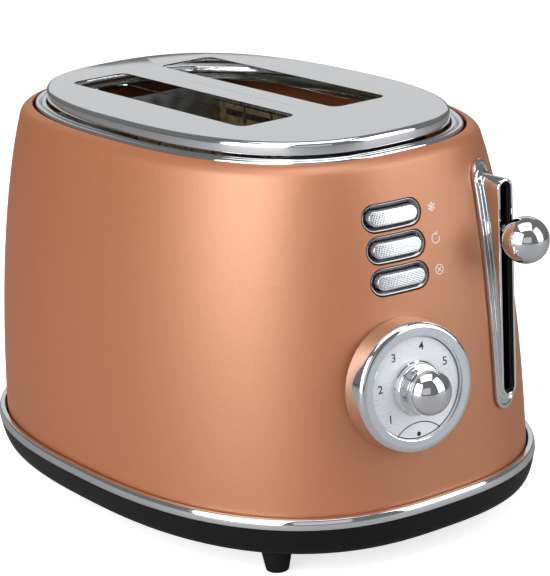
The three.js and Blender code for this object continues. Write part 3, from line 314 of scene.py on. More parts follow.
def printed_ink(name, colour):
    return finish(name, colour, 0.45, 0.0, ("Roughness", 0.8, 0.4, 0.52), IOR=1.5)


# %% [markdown]
# ### Silver buttons
# Each cap is clear plastic over a silver foil that is embossed with a fine square grid of dots. The
# dots are 0.75 mm apart. The grid is the sum of two cosines of Object coordinates across the control
# end, which are Y and Z.

# %% Silver dotted cap


def dotted_silver(pitch_mm=0.75):
    material, tree, shader = new_material("silver_dot_foil", "#cfd2d6", 0.24, 0.85)
    place = add_node(tree, "ShaderNodeTexCoord").outputs["Object"]
    split = add_node(tree, "ShaderNodeSeparateXYZ", feeds={"Vector": place})
    waves = {}
    for i, axis in enumerate(("Y", "Z")):
        turns = add_node(tree, "ShaderNodeMath", {1: 2 * math.pi / (pitch_mm * mm)},
                         {0: split.outputs[axis]}, operation="MULTIPLY")
        wave = add_node(tree, "ShaderNodeMath", feeds={0: turns.outputs[0]}, operation="COSINE")
        waves[i] = wave.outputs[0]
    dots = add_node(tree, "ShaderNodeMath", feeds=waves, operation="ADD").outputs[0]
    height = add_node(tree, "ShaderNodeMapRange", {"From Min": -1.5, "From Max": 1.5},
                      {"Value": dots}).outputs["Result"]
    shade = add_node(tree, "ShaderNodeValToRGB", feeds={"Fac": height})
    shade.color_ramp.elements[0].color = linear("#a9adb3")
    shade.color_ramp.elements[1].color = linear("#e6e8ea")
    tree.links.new(shade.outputs["Color"], shader.inputs["Base Color"])
    bump = add_node(tree, "ShaderNodeBump", {"Strength": 0.5, "Distance": 0.05 * mm}, {"Height": height})
    tree.links.new(bump.outputs["Normal"], shader.inputs["Normal"])
    return material


# %% [markdown]
# ### Metals inside, and the dial
# Through the slots one sees galvanised sheet with its spangle, nickel-plated wire, grey-brown mica
# cards, and flat heating wire with the dark oxide that its first use gives it. The coil's varnished
# wire lies in turns one above the other, so its height is a wave along Z. The dial plate is silver,
# brushed lightly in one direction.

# %% Inner metals, mica and the dial


def wound_copper(turn_mm=0.5):
    material, tree, shader = new_material("varnished_copper_winding", "#b4602f", 0.35, 0.9)
    place = add_node(tree, "ShaderNodeTexCoord").outputs["Object"]
    turns = add_node(tree, "ShaderNodeTexWave", {"Scale": per_metre(turn_mm) / 20, "Distortion": 0.1},
                     {"Vector": place}, bands_direction="Z")
    mottled(tree, shader, "Base Color", 5, "#a5532a", "#c06f3c")
    bump = add_node(tree, "ShaderNodeBump", {"Strength": 0.8, "Distance": 0.15 * mm},
                    {"Height": turns.outputs["Fac"]})
    tree.links.new(bump.outputs["Normal"], shader.inputs["Normal"])
    return material


zinc = finish("galvanised_sheet", "#a2a7aa", 0.42, 1.0, ("Roughness", 7, 0.34, 0.52, {"cells": True}),
              ("Base Color", 9, "#979ca0", "#b0b5b8", {"detail": 4.0}))
wire_steel = finish("nickel_plated_steel", "#b9bbbb", 0.24, 1.0, ("Roughness", 3, 0.2, 0.34))
mica = finish("pressed_mica", "#a08a63", 0.5, 0.0,
              ("Base Color", 4, "#8f7850", "#b9a47a", {"detail": 6.0, "relief_mm": 0.06, "relief": 0.6}),
              IOR=1.58)
heating_wire = finish("oxidised_heating_wire", "#6b6561", 0.5, 0.9, ("Base Color", 6, "#57514d", "#7d7068"))
board_green = finish("green_solder_mask", "#1d6a3c", 0.35, 0.0,
                     ("Base Color", 2.5, "#185a32", "#2a7d4a", {"detail": 1.0, "stretch": (1, 0.2, 1)}),
                     IOR=1.5)
winding = wound_copper()
brushing = {"stretch": (1, 0.08, 1), "relief_mm": 0.003, "relief": 0.1}
dial_silver = finish("brushed_silver_dial", "#eef1f5", 0.34, 0.2, ("Roughness", 0.5, 0.26, 0.36, brushing))
copper = copper_lacquer()
chrome = chrome_plate("polished_chrome_plate", "#e3e5e7", 0.04, 0.085)
satin_chrome = chrome_plate("satin_chrome_plate", "#d5dce4", 0.3, 0.36)
dark_chrome = chrome_plate("dark_chrome_plate", "#8d9094", 0.1, 0.16)
base_plastic = grained_plastic("black_polypropylene", "#050506", 0.45, 0.7, 0.03)
slot_plastic = grained_plastic("black_slot_plastic", "#0b0b0c", 0.55, 0.7, 0.03)
foot_rubber = grained_plastic("black_foot_rubber", "#0f0f10", 0.62, 0.9, 0.04)
block_plastic = grained_plastic("ivory_terminal_plastic", "#d9d4c6", 0.4, 0.8, 0.02)
red_sleeve = grained_plastic("red_wire_sleeve", "#a3241d", 0.38, 1.2, 0.02)
blue_sleeve = grained_plastic("blue_wire_sleeve", "#23458e", 0.38, 1.2, 0.02)
button_silver = dotted_silver()
black_ink = printed_ink("black_print_ink", "#15161a")
white_ink = printed_ink("white_print_ink", "#f1f0ee")
print(len(bpy.data.materials), "materials")

# %% [markdown]
# ## The oval
# Seen from above, every layer of the toaster is the same kind of oval, a superellipse: fuller than an
# ellipse at the corners, but with no straight side. Its points are spread evenly along the edge, so
# that no part of a reflection is carried by too few faces.

# %% Oval outlines
oval_x, oval_y = 2.52, 2.65
columns, walk_steps = 288, 8001
band_low, band_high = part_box("base_band")
band_flare = 0.8 * mm
half_length = (band_high.x - band_low.x) / 2 - band_flare
half_width = (band_high.y - band_low.y) / 2 - band_flare
band_top = band_high.z


def oval_at(angle):
    """|x| = |cos| ** (2 / oval_x) and |y| = |sin| ** (2 / oval_y), so |x| ** oval_x + |y| ** oval_y = 1."""
    c, s = np.cos(angle), np.sin(angle)
    return np.sign(c) * np.abs(c) ** (2 / oval_x), np.sign(s) * np.abs(s) ** (2 / oval_y)


def even_oval(count):
    """Points of the unit oval that are evenly spaced along the edge of the toaster's own oval."""
    angle = np.linspace(0, 2 * math.pi, walk_steps)
    x, y = oval_at(angle)
    walked = np.append(0, np.cumsum(np.hypot(np.diff(x) * half_length, np.diff(y) * half_width)))
    return oval_at(np.interp(np.linspace(0, walked[-1], count, endpoint=False), walked, angle))


unit_x, unit_y = even_oval(columns)


def oval_rows(stations):
    """Stacks ovals: each station is (half length, half width, height), and gives one row of points."""
    a, b, z = np.asarray(stations, float).T[:, :, None]
    return np.stack(np.broadcast_arrays(centre_x + a * unit_x, b * unit_y, z), -1)


def rounded(start, corner, end, count=6):
    """Points of a soft corner: a quadratic Bezier curve from start to end that is drawn to the corner."""
    t = np.linspace(0, 1, count)[:, None]
    start, corner, end = (np.asarray(p, float) for p in (start, corner, end))
    return (1 - t) ** 2 * start + 2 * t * (1 - t) * corner + t**2 * end


# %% [markdown]
# ## The copper shell
# The wall leans in as it rises, slowly at first and faster near the top, then turns over a shoulder.
# One cubic Bezier curve is the wall and a circular arc is the shoulder. The sheet has a real
# thickness, and the openings for the buttons and the lever are cut through it.

# %% Copper shell
sheet = 1.2 * mm
wall_insets = np.array([2.9, 3.65, 8.0, 18.0]) * mm
wall_heights = np.array([0.0, 48.0, 106.0, 146.0]) * mm
width_taper = 1.17
shoulder_radius = 6.5 * mm
shoulder_end = math.radians(82)
wall_steps, shoulder_steps, face_steps = 44, 12, 600
band_size = [round(2 * v / mm, 1) for v in (half_length, half_width)]
print("band", band_size, "mm, shell's foot at", round(shell_low.z / mm, 1), "mm")


def bezier(points, t):
    """Cubic Bezier: the four values weighted by (1-t)^3, 3t(1-t)^2, 3t^2(1-t) and t^3."""
    u = 1 - t
    return points[0] * u**3 + 3 * points[1] * t * u**2 + 3 * points[2] * t**2 * u + points[3] * t**3


def shell_profile(grow):
    """Stations of a surface parallel to the shell's outside, from its foot to its rim."""
    foot = shell_low.z
    t = np.linspace(0, 1, wall_steps)
    inset, height = bezier(wall_insets, t), bezier(wall_heights, t)
    start = math.atan2(wall_insets[3] - wall_insets[2], wall_heights[3] - wall_heights[2])
    turn = np.linspace(start, shoulder_end, shoulder_steps)[1:]
    centre_inset = wall_insets[3] + shoulder_radius * math.cos(start)
    centre_height = wall_heights[3] - shoulder_radius * math.sin(start)
    inset = np.append(inset, centre_inset - shoulder_radius * np.cos(turn))
    height = np.append(height, centre_height + shoulder_radius * np.sin(turn))
    out = grow * np.append(np.ones(wall_steps), np.cos(turn))
    up = grow * np.append(np.zeros(wall_steps), np.sin(turn))
    a, b = half_length - inset + out, half_width - width_taper * inset + out
    stations = np.stack([a, b, band_top + height + up], -1)
    return np.vstack([[a[0], b[0], foot], stations])


def face_x(y, z):
    """X of the shell's control end: the oval at that height, solved for x."""
    t = np.linspace(0, 1, face_steps)
    inset = np.interp(z - band_top, bezier(wall_heights, t), bezier(wall_insets, t))
    a, b = half_length - inset, half_width - width_taper * inset
    return centre_x + a * (1 - np.abs(y / b) ** oval_y) ** (1 / oval_x)


# %% [markdown]
# ### Pills
# The buttons, the lever's slot and its frame are all pills: a straight core with a half circle at each
# end. A pill's points are the core's ends and sides, moved out by the radius.

# %% Pill outlines


def pill_frame(arc=24, side=14):
    """(outward u, outward v, place along the core from -1 to 1) for each point round a pill."""
    turn = np.linspace(0, math.pi, arc)
    run = np.linspace(1, -1, side + 2)[1:-1]
    u = np.concatenate([np.cos(turn), -np.ones(side), np.cos(turn + math.pi), np.ones(side)])
    v = np.concatenate([np.sin(turn), np.zeros(side), np.sin(turn + math.pi), np.zeros(side)])
    core = np.concatenate([np.ones(arc), run, -np.ones(arc), -run])
    return u, v, core


def pill_rows(radii, cores):
    """Rows of a pill that is upright: across is radius * u, along is core * place + radius * v."""
    u, v, core = pill_frame()
    radii, cores = np.asarray(radii, float)[:, None], np.asarray(cores, float)[:, None]
    return radii * u, cores * core + radii * v


def pill_prism(middle_y, middle_z, width, height, x0, x1):
    """A pill-shaped bar along X, lying or upright, closed at both ends."""
    radius, core = min(width, height) / 2, abs(width - height) / 2
    across, along = pill_rows([0, radius, radius, 0], [core, core, core, core])
    y, z = (along, across) if width > height else (across, along)
    x = np.array([x0, x0, x1, x1])[:, None] + 0 * y
    return grid(np.stack([x, middle_y + y, middle_z + z], -1))


# %% [markdown]
# ### Openings in the shell
# The press tool would punch these through the sheet. Here pill-shaped bars along X are taken from the
# wall: one for each button and its surround, one for the lever's slot, and a round one for the dial's
# shaft.

# %% Cut and place the shell
caps = ["button_defrost", "button_reheat", "button_cancel"]
dial_y, dial_z, shaft_hole = -19.2 * mm, 85 * mm, 11 * mm
cap_gap, surround, liner_gap = 0.4 * mm, 2.2 * mm, 0.3 * mm
cut_from, slot_from, cut_to = 90 * mm, 80 * mm, 160 * mm


def outline_of(name):
    """A node's middle in Y and Z, and its width and height."""
    low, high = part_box(name)
    return (low.y + high.y) / 2, (low.z + high.z) / 2, high.y - low.y, high.z - low.z


def opening(name, grow, x0):
    y, z, width, height = outline_of(name)
    return pill_prism(y, z, width + 2 * grow, height + 2 * grow, x0, cut_to)


shell_section = np.vstack([shell_profile(0), shell_profile(-sheet)[::-1]])
shell_mesh = grid(oval_rows(shell_section), wrap_rows=True)
cutters = [opening(n, cap_gap + surround + cap_gap, cut_from) for n in caps]
cutters.append(opening("lever_slot_liner", liner_gap, slot_from))
cutters.append(pill_prism(dial_y, dial_z, shaft_hole, shaft_hole, cut_from, cut_to))
piece("copper_shell", carved(shell_mesh, cutters), "body", copper, ["outer_shell"])

# %% [markdown]
# ## The top
# The trim ring hooks under the shell's rim, and shows a round bead, a groove and a second, flatter
# bead. Inside it stands the bright plate.

# %% Trim ring
ring_low, ring_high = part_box("top_trim_ring")
hook_reach = 3 * mm
ring_a = (ring_high.x - ring_low.x) / 2 - hook_reach
ring_b = (ring_high.y - ring_low.y) / 2 - hook_reach
ring_width = 5.6 * mm


def round_bead(start, end, height, base, count=13):
    """A raised bead over an inset: insets from start to end, with drop = base - height * sin."""
    t = np.linspace(0, math.pi, count)
    inset = (start + end) / 2 - (end - start) / 2 * np.cos(t)
    return np.stack([inset, base - height * np.sin(t)], -1)


def oval_section(a, b, top, section):
    """Oval stations for a section of (inset, drop) pairs from the outline (a, b) at height top."""
    inset, drop = np.asarray(section).T
    return np.stack([a - inset, b - inset, top - drop], -1)


bead = round_bead(0.1 * mm, 2.9 * mm, 1.5 * mm, 1.6 * mm)
flat_bead = round_bead(3.1 * mm, 5.5 * mm, 0.95 * mm, 1.0 * mm)
hook = np.array([[5.6, 7.6], [-3.0, 7.6], [-3.0, 6.4], [0.6, 6.4], [0.6, 2.6], [0.1, 2.1]]) * mm
ring_section = np.vstack([hook, bead, flat_bead, [[ring_width, 1.4 * mm]]])
ring_mesh = grid(oval_rows(oval_section(ring_a, ring_b, ring_high.z, ring_section)), wrap_rows=True)
piece("trim_ring", ring_mesh, "body", chrome, ["top_trim_ring"])

# %% [markdown]
# ### Bright plate
# The plate is one oval section carried round, with its edge turned down. A walled frame is added below
# each bread slot, and a mouth is then cut through plate and frame. The mouth has the slot's outline at
# the top, is widest a little below it, and narrows again further down, so the slot's edge is undercut.

# %% Bright plate with its slots
plate_low, plate_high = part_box("top_plate")
plate_a, plate_b = (plate_high.x - plate_low.x) / 2, (plate_high.y - plate_low.y) / 2
plate_sheet, edge_radius, skirt = 1.0 * mm, 2.2 * mm, 5.7 * mm
slot_length, slot_width, slot_corner = 142 * mm, 30.8 * mm, 5 * mm
slot_middle = centre_x - 12.7 * mm
slot_sides = {"front": -25.9 * mm, "rear": 25.9 * mm}
lip_deep, lip_roll = 5 * mm, 1.9 * mm


def quarter(radius, count=9):
    """(1 - cos, 1 - sin) of a quarter turn: how a rounded edge runs inwards while it rises."""
    t = np.linspace(0, math.pi / 2, count)
    return np.stack([radius * (1 - np.cos(t)), radius * (1 - np.sin(t))], -1)


def rounded_box_rows(middle, half, corner, stations, arc=12):
    """Rows of a rectangle with round corners. Each station is (growth, height)."""
    turn = np.concatenate([np.linspace(k, k + 1, arc) * math.pi / 2 for k in range(4)])
    core_x = (half[0] - corner) * np.repeat([1, -1, -1, 1], arc)
    core_y = (half[1] - corner) * np.repeat([1, 1, -1, -1], arc)
    grow, z = np.asarray(stations, float).T[:, :, None]
    x = middle[0] + core_x + (corner + grow) * np.cos(turn)
    y = middle[1] + core_y + (corner + grow) * np.sin(turn)
    return np.stack(np.broadcast_arrays(x, y, z), -1)


def slot_prism(side_y, stations):
    """A closed bar that follows the slot's outline."""
    half = (slot_length / 2, slot_width / 2)
    return capped(rounded_box_rows((slot_middle, side_y), half, slot_corner, stations))


plate_edge, almost_middle = quarter(edge_radius), 0.999 * plate_b
outer_section = np.vstack([[[0, skirt]], plate_edge, [[almost_middle, 0]]])
inner_edge = plate_edge + [plate_sheet, plate_sheet]
inner_section = np.vstack([[[plate_sheet, skirt]], inner_edge[:-1], [[almost_middle, plate_sheet]]])
plate_section = np.vstack([outer_section, inner_section[::-1]])
plate_mesh = grid(oval_rows(oval_section(plate_a, plate_b, plate_high.z, plate_section)), wrap_rows=True)
lip_low, lip_high = plate_high.z - plate_sheet - lip_deep, plate_high.z - 0.5 * plate_sheet
lips = [slot_prism(y, [(plate_sheet, lip_low), (plate_sheet, lip_high)]) for y in slot_sides.values()]
roll = quarter(lip_roll)[::-1]
undercut = np.stack([lip_roll - roll[:, 1], plate_high.z - roll[:, 0]], -1)
mouth = np.vstack([[0, lip_low - 4 * mm], undercut, [lip_roll, plate_high.z + 3 * mm]])
mouths = [slot_prism(y, mouth) for y in slot_sides.values()]
plate_mesh = carved(carved(plate_mesh, lips, "UNION"), mouths)
piece("bright_plate", plate_mesh, "body", chrome, ["top_plate"])

# %% [markdown]
# ## Foot of the body
# The chrome band sits on the black base pan. The pan swells outwards from its flat underside to just
# inside the band. The crumb tray's end wall is a piece of the same curve, so the two are made from
# one block: the door's box is cut from the pan, and is kept from the tray's wall.

# %% Band, base pan and tray end
base_low, base_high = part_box("base_shell")
base_bottom, base_top = base_low.z, base_high.z
base_height = base_top - base_bottom
band_thick, band_tall = 2 * mm, band_high.z - band_low.z
band_edge = rounded((band_flare - 0.5 * mm, 0), (band_flare, 0), (band_flare, 0.6 * mm), 5)
band_face = np.array([[0.78, 1.8], [0.62, 2.9], [0.3, 3.9]]) * mm
band_lip = rounded((0.12 * mm, 4.25 * mm), (0, 4.6 * mm), (-0.5 * mm, 4.6 * mm), 5)
band_section = np.vstack([[[-band_thick, 0]], band_edge, band_face, band_lip, [[-band_thick, band_tall]]])
band_stations = [(half_length + out, half_width + out, band_low.z + up) for out, up in band_section]
band_mesh = grid(oval_rows(band_stations), wrap_rows=True)
piece("chrome_band", band_mesh, "body", chrome, ["base_band"])

under_inset, flare_in = 6.5 * mm, band_flare - 0.2 * mm
control = np.array([[-under_inset, 0], [-1.6 * mm, 0.4 * mm], [-0.6 * mm, 6.5 * mm],
                    [flare_in, base_height]])
swell = bezier(control[:, :, None], np.linspace(0, 1, 22)).T
base_outer = [(half_length + out, half_width + out, base_bottom + up) for out, up in swell]
floor_top, wall_inset, ledge_inset, ledge_deep = base_bottom + 2.5 * mm, 4.5 * mm, 2.4 * mm, 3.1 * mm


def base_station(inset, z):
    return (half_length - inset, half_width - inset, z)


base_inner = [
    base_station(wall_inset, floor_top),
    base_station(wall_inset, base_top - ledge_deep),
    base_station(ledge_inset, base_top - ledge_deep),
    base_station(ledge_inset, base_top + 1 * mm),
]


def block(low, high):
    """A plain box between two corners."""
    (x0, y0, z0), (x1, y1, z1) = low, high
    x, y = np.array([x0, x1, x1, x0]), np.array([y0, y0, y1, y1])
    return capped(np.stack([np.stack([x, y, np.full(4, z)], -1) for z in (z0, z1)]))


def turned(profile, place=None, count=96):
    """A profile of (radius, height) pairs, turned about the place's Z axis: (r cos t, r sin t, h). A
    profile that starts off the axis is a ring, so its last point joins its first one."""
    radius, height = np.asarray(profile, float).T[:, :, None]
    angle = np.linspace(0, 2 * math.pi, count, endpoint=False)
    rows = np.stack(np.broadcast_arrays(radius * np.cos(angle), radius * np.sin(angle), height), -1)
    is_ring = bool(profile[0][0] > 0)
    mesh = grid(rows, wrap_rows=is_ring)
    if place:
        mesh.transform(place)
    return mesh


door_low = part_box("crumb_tray_handle")[0]
tray_low, tray_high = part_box("crumb_tray")
door_half, door_gap = tray_high.y + 1.5 * mm, 0.3 * mm
door_floor, door_top = floor_top + door_gap, tray_high.z + 2 * mm


def door_box(grow):
    far = shell_low.x - 20 * mm
    return block((far, -door_half - grow, door_floor - grow),
                 (far + 70 * mm, door_half + grow, door_top + grow))


def rod_profile(radius, low, high):
    return [(0, low), (radius, low), (radius, high), (0, high)]


screws = [f"base_screw_{i}" for i in (1, 2, 3, 4)]
screw_places = [Matrix.Translation(((a.x + b.x) / 2, (a.y + b.y) / 2, 0)) for a, b in map(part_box, screws)]
past = 2 * mm
pocket_profile = rod_profile(3.6 * mm, base_bottom - past, base_bottom + 2.2 * mm)
pockets = [turned(pocket_profile, place, 32) for place in screw_places]
vents_from, vent_pitch, vent_wide, vent_y = 78 * mm, 8 * mm, 3 * mm, (-48 * mm, -26 * mm)
vents = [block((x, vent_y[0], base_bottom - past), (x + vent_wide, vent_y[1], floor_top + past))
         for x in centre_x + vents_from + vent_pitch * np.arange(5)]
gland_y, gland_z = 72 * mm, (floor_top + base_top - ledge_deep + door_gap) / 2
gland_a, gland_b = half_length + 0.5 * band_flare, half_width + 0.5 * band_flare
gland_x = -gland_a * (1 - (gland_y / gland_b) ** oval_y) ** (1 / oval_x)
gland_out = Vector((
    -oval_x / gland_a * (-gland_x / gland_a) ** (oval_x - 1),
    oval_y / gland_b * (gland_y / gland_b) ** (oval_y - 1),
    0,
)).normalized()


def facing(point, normal):
    """A place whose Z axis points along a normal, and whose Y axis points as far up as it can."""
    side = Vector((0, 0, 1)).cross(normal).normalized()
    axes = Matrix((side, normal.cross(side), normal)).transposed()
    return Matrix.Translation(point) @ axes.to_4x4()


gland_place = facing(Vector((centre_x + gland_x, gland_y, gland_z)), gland_out)
gland_hole = turned(rod_profile(4 * mm, -12 * mm, 8 * mm), gland_place, 40)
pan = carved(capped(oval_rows(base_outer)), [capped(oval_rows(base_inner))])
tray_wall = carved(pan.copy(), [door_box(-door_gap)], "INTERSECT")
pan = carved(pan, [door_box(0), gland_hole, *pockets, *vents])
piece("base_pan", pan, "body", base_plastic, ["base_shell"])
grip_z = (floor_top + door_top) / 2 + 1 * mm
grip_reach = (shell_low.x + 5.4 * mm - door_low.x) / 2
grip_stations = [0, grip_z] + np.array([[-0.6, 0], [0, 0.5], [0, 1.3], [-0.6, 1.8]]) * mm
grip = capped(rounded_box_rows((door_low.x + grip_reach, 0), (grip_reach, 22 * mm), 3 * mm, grip_stations))
tongue_half, tongue_thick = 40 * mm, 1.6 * mm
tongue = block((shell_low.x + 1.5 * mm, -tongue_half, tray_low.z),
               (tray_low.x - door_gap, tongue_half, tray_low.z + tongue_thick))
tray_mesh = joined(tray_wall, grip, tongue)
piece("tray_end", tray_mesh, "tray", base_plastic, ["crumb_tray_handle"])

# %% [markdown]
# ### Feet, gland and screws
# These are turned shapes. A foot is a tapered rubber cup, the gland is a flanged bush where a lead would
# leave, and each screw has a domed head with a cross cut into it.

# %% Feet, gland and screws
foot_profile = np.vstack([
    [[0, 0]],
    rounded((4 * mm, 0), (5.2 * mm, 0), (5.28 * mm, 1.1 * mm)),
    [[7.3 * mm, 11.4 * mm], [7.4 * mm, 12.2 * mm], [0, 12.2 * mm]],
])
for end in ("control_end", "tray_end"):
    for side in ("front", "rear"):
        name = f"foot_{end}_{side}"
        low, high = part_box(name)
        place = Matrix.Translation(((low.x + high.x) / 2, (low.y + high.y) / 2, 0))
        piece(f"rubber_{name}", turned(foot_profile, place, 64), "body", foot_rubber, [name])

gland_profile = np.array([[2.4, -6], [3.7, -6], [3.7, 1.5], [5.0, 1.5], [5.1, 1.8], [5.0, 2.6], [4.5, 3.2],
                          [3.4, 3.7], [2.7, 4.0], [2.4, 3.7]]) * mm
gland_mesh = turned(gland_profile, gland_place, 64)
piece("lead_gland", gland_mesh, "body", foot_rubber, ["cord_gland"])

screw_start, screw_end = base_bottom + 0.3 * mm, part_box("base_screw_1")[1].z
head = rounded((2.2 * mm, screw_start), (3.1 * mm, screw_start), (3.1 * mm, screw_start + 0.8 * mm), 5)
screw_profile = np.vstack([
    [[0, screw_start]], head, [[3.1 * mm, screw_start + 1.6 * mm], [1.6 * mm, screw_start + 2 * mm]],
    [[1.6 * mm, screw_end], [0, screw_end]],
])
cross = [block((-w, -h, screw_start - 1 * mm), (w, h, screw_start + 1.1 * mm))
         for w, h in ((1.7 * mm, 0.35 * mm), (0.35 * mm, 1.7 * mm))]
screw_mesh = carved(turned(screw_profile, None, 40), cross)
for i, (node, place) in enumerate(zip(screws, screw_places), 1):
    mesh = screw_mesh.copy()
    mesh.transform(place)
    piece(f"cross_screw_{i}", mesh, "body", wire_steel, [node])

# %% [markdown]
# ## Buttons
# Each button is a silver pill in a dark chrome surround. The surround slopes down towards the cap, and
# the cap stands proud of it. Both follow the curve of the control end, which `face_x` gives.

# %% Button surrounds and caps


def pill_on_face(name, stations):
    """Rows of a lying pill on the control end. Each station is (growth from the cap's edge, depth)."""
    y, z, width, height = outline_of(name)
    radius, core = min(width, height) / 2, abs(width - height) / 2
    grow, depth = np.asarray(stations, float).T
    across, along = pill_rows(radius + grow, np.full(len(grow), core))
    py, pz = y + along, z + across
    return np.stack([face_x(py, pz) + depth[:, None], py, pz], -1)


surround_section = np.vstack([
    [[0.45 * mm, -9 * mm], [2.55 * mm, -9 * mm], [2.55 * mm, -1.1 * mm]],
    rounded((2.55 * mm, -0.9 * mm), (2.55 * mm, -0.5 * mm), (2.2 * mm, -0.5 * mm), 5),
    [[1.9 * mm, -0.6 * mm], [0.75 * mm, -1.7 * mm], [0.5 * mm, -2.0 * mm]],
])
surrounds = [grid(pill_on_face(n, surround_section), wrap_rows=True) for n in caps]
piece("button_surrounds", joined(*surrounds), "body", dark_chrome, ["button_frame"])

half_cap = outline_of(caps[0])[3] / 2
cap_face = 1.15 * mm
cap_section = np.vstack([
    [[-half_cap, -8 * mm], [0, -8 * mm], [0, cap_face - 0.7 * mm]],
    rounded((0, cap_face - 0.6 * mm), (0, cap_face), (-0.6 * mm, cap_face), 6),
    [[-1.2 * mm, cap_face], [-2.2 * mm, cap_face], [-half_cap, cap_face]],
])
for name in caps:
    cap_mesh = grid(pill_on_face(name, cap_section))
    piece(f"silver_{name}", cap_mesh, f"{name.split('_')[1]}_button", button_silver, [name])

# %% [markdown]
# ## Browning dial
# The dial stands on the body's own normal. A chrome ring holds a silver face with its numbers, and the
# knob turns on it: a stepped collar, a waist, and a mirror-bright dome. All are profiles of (radius,
# height over the body) in millimetres, turned about the dial's axis.

# %% Dial ring, face and knob
dial_x = float(face_x(np.array([dial_y]), np.array([dial_z]))[0])


def face_normal(y, z, step=0.5 * mm):
    """Outward normal of the control end, from the slopes of face_x."""
    py, pz = np.array([y + step, y - step, y, y]), np.array([z, z, z + step, z - step])
    x = face_x(py, pz)
    return Vector((1, -(x[0] - x[1]) / (2 * step), -(x[2] - x[3]) / (2 * step))).normalized()


dial_place = facing(Vector((dial_x, dial_y, dial_z)), face_normal(dial_y, dial_z))
ring_profile = np.vstack([
    np.array([[5.6, 1.0], [26.0, 1.0], [28.6, -0.6], [29.6, -0.4]]) * mm,
    np.array([[29.5, 1.2], [29.15, 5.0]]) * mm,
    rounded((28.85 * mm, 8.0 * mm), (28.6 * mm, 10.75 * mm), (26.2 * mm, 10.8 * mm), 12),
    np.array([[25.9, 10.8], [23.2, 10.8], [22.9, 10.7], [22.6, 10.3], [22.45, 9.4], [22.45, 2.4],
              [5.6, 2.4]]) * mm,
])
piece("dial_ring", turned(ring_profile, dial_place, 192), "body", chrome, ["dial_bezel"])
annulus = np.array([[23.1, 10.7], [25.9, 10.7], [25.9, 10.83], [23.1, 10.83]]) * mm
piece("dial_ring_face", turned(annulus, dial_place, 192), "body", satin_chrome)
face_profile = np.array([[4.5, 2.7], [6.9, 2.7], [6.9, 7.6], [22.1, 7.6], [22.1, 8.8], [4.5, 8.8]]) * mm
piece("dial_plate", turned(face_profile, dial_place, 160), "body", dial_silver, ["dial_face"])

dome_turn = np.linspace(0, math.pi / 2, 26)
dome = np.stack([10.1 * np.cos(dome_turn), 19.6 + 7.9 * np.sin(dome_turn)], -1) * mm
knob_profile = np.vstack([
    np.array([[0, 18.6], [3.3, 18.6], [3.3, 9.2], [11.6, 9.2], [12.0, 9.5], [12.0, 10.3], [11.5, 10.7],
              [11.4, 11.2]]) * mm,
    rounded((11.35 * mm, 12.4 * mm), (11.3 * mm, 13.3 * mm), (10.3 * mm, 13.45 * mm), 6),
    np.array([[8.4, 13.7], [7.0, 14.3], [6.3, 15.3], [6.1, 16.4], [6.4, 17.4], [8.0, 18.3], [9.4, 18.7],
              [9.9, 19.1]]) * mm,
    dome,
])
knob_mesh = turned(knob_profile, dial_place, 160)
piece("dial_knob", knob_mesh, "browning_control", chrome, ["browning_knob"])

# %% [markdown]
# ### Print on the dial
# Six numbers run round the face. An arc and a dot mark the bottom. The numbers are text made into a
# mesh, and the arc is a flat ribbon, so that the ink has a real thickness.

# %% Dial numbers, arc and mark
face_height, ink_thick = 8.8 * mm, 0.08 * mm


def ribbon(path, width, thick, rows_to_points):
    """A flat stroke along a path of (u, v) points. Its four edges are offset along the path's normals."""
    path = np.asarray(path, float)
    way = np.gradient(path, axis=0)
    way /= np.linalg.norm(way, axis=1)[:, None]
    side = np.stack([-way[:, 1], way[:, 0]], -1) * width / 2
    rows = []
    for offset, lift in ((side, 0), (side, thick), (-side, thick), (-side, 0)):
        rows.append(rows_to_points(path + offset, lift))
    return capped(np.stack(rows).swapaxes(0, 1))


def on_dial(points, lift):
    """Dial-face points to the model's frame."""
    local = np.column_stack([points, np.full(len(points), face_height + lift), np.ones(len(points))])
    return (local @ np.array(dial_place).T)[:, :3]


def numeral(text, size, radius, angle):
    """A number as a mesh on the dial, upright, whose middle is at an angle from the top."""
    curve = bpy.data.curves.new("numeral", "FONT")
    curve.body, curve.size, curve.extrude = text, size, 0.03 * mm
    curve.align_x, curve.align_y = "CENTER", "CENTER"
    curve.offset = 0.02 * mm
    obj = bpy.data.objects.new("numeral", curve)
    bpy.context.scene.collection.objects.link(obj)
    bpy.context.view_layer.update()
    mesh = bpy.data.meshes.new_from_object(obj.evaluated_get(bpy.context.evaluated_depsgraph_get()))
    bpy.data.objects.remove(obj)
    mesh.materials.clear()
    middle = (radius * math.sin(angle), radius * math.cos(angle), face_height + 0.05 * mm)
    mesh.transform(dial_place @ Matrix.Translation(middle))
    return tidy(mesh)


number_angles = np.radians(-130 + 48 * np.arange(6))
numbers = [numeral(str(i + 1), 5.2 * mm, 17.9 * mm, a) for i, a in enumerate(number_angles)]
arc_radius, arc_drop, arc_turn = 15.7 * mm, -31.2 * mm, np.radians(np.linspace(44, -44, 40))
arc_path = np.stack([arc_radius * np.sin(-arc_turn), arc_drop + arc_radius * np.cos(arc_turn)], -1)
arc_line = ribbon(arc_path, 0.45 * mm, 0.06 * mm, on_dial)
dot_place = dial_place @ Matrix.Translation((0, -20.7 * mm, 0))
dot = turned(rod_profile(1 * mm, face_height, face_height + ink_thick), dot_place, 32)
piece("dial_print", joined(*numbers, arc_line, dot), "body", black_ink)

# %% [markdown]
# ## Lever slot
# A chrome frame lies on the body around the lever's slot. It has two fine rims, and from the inner one
# a wall stands up to an upright plane, so the frame looks like a wedge from the side. A black channel
# lines the slot.

# %% Lever frame and liner
frame_low, frame_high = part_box("lever_escutcheon")
frame_centre, loop_front = (frame_low + frame_high) / 2, frame_high.x
lever_y, frame_middle = frame_centre.y, frame_centre.z
liner_low, liner_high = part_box("lever_slot_liner")
slot_z = (liner_low.z + liner_high.z) / 2


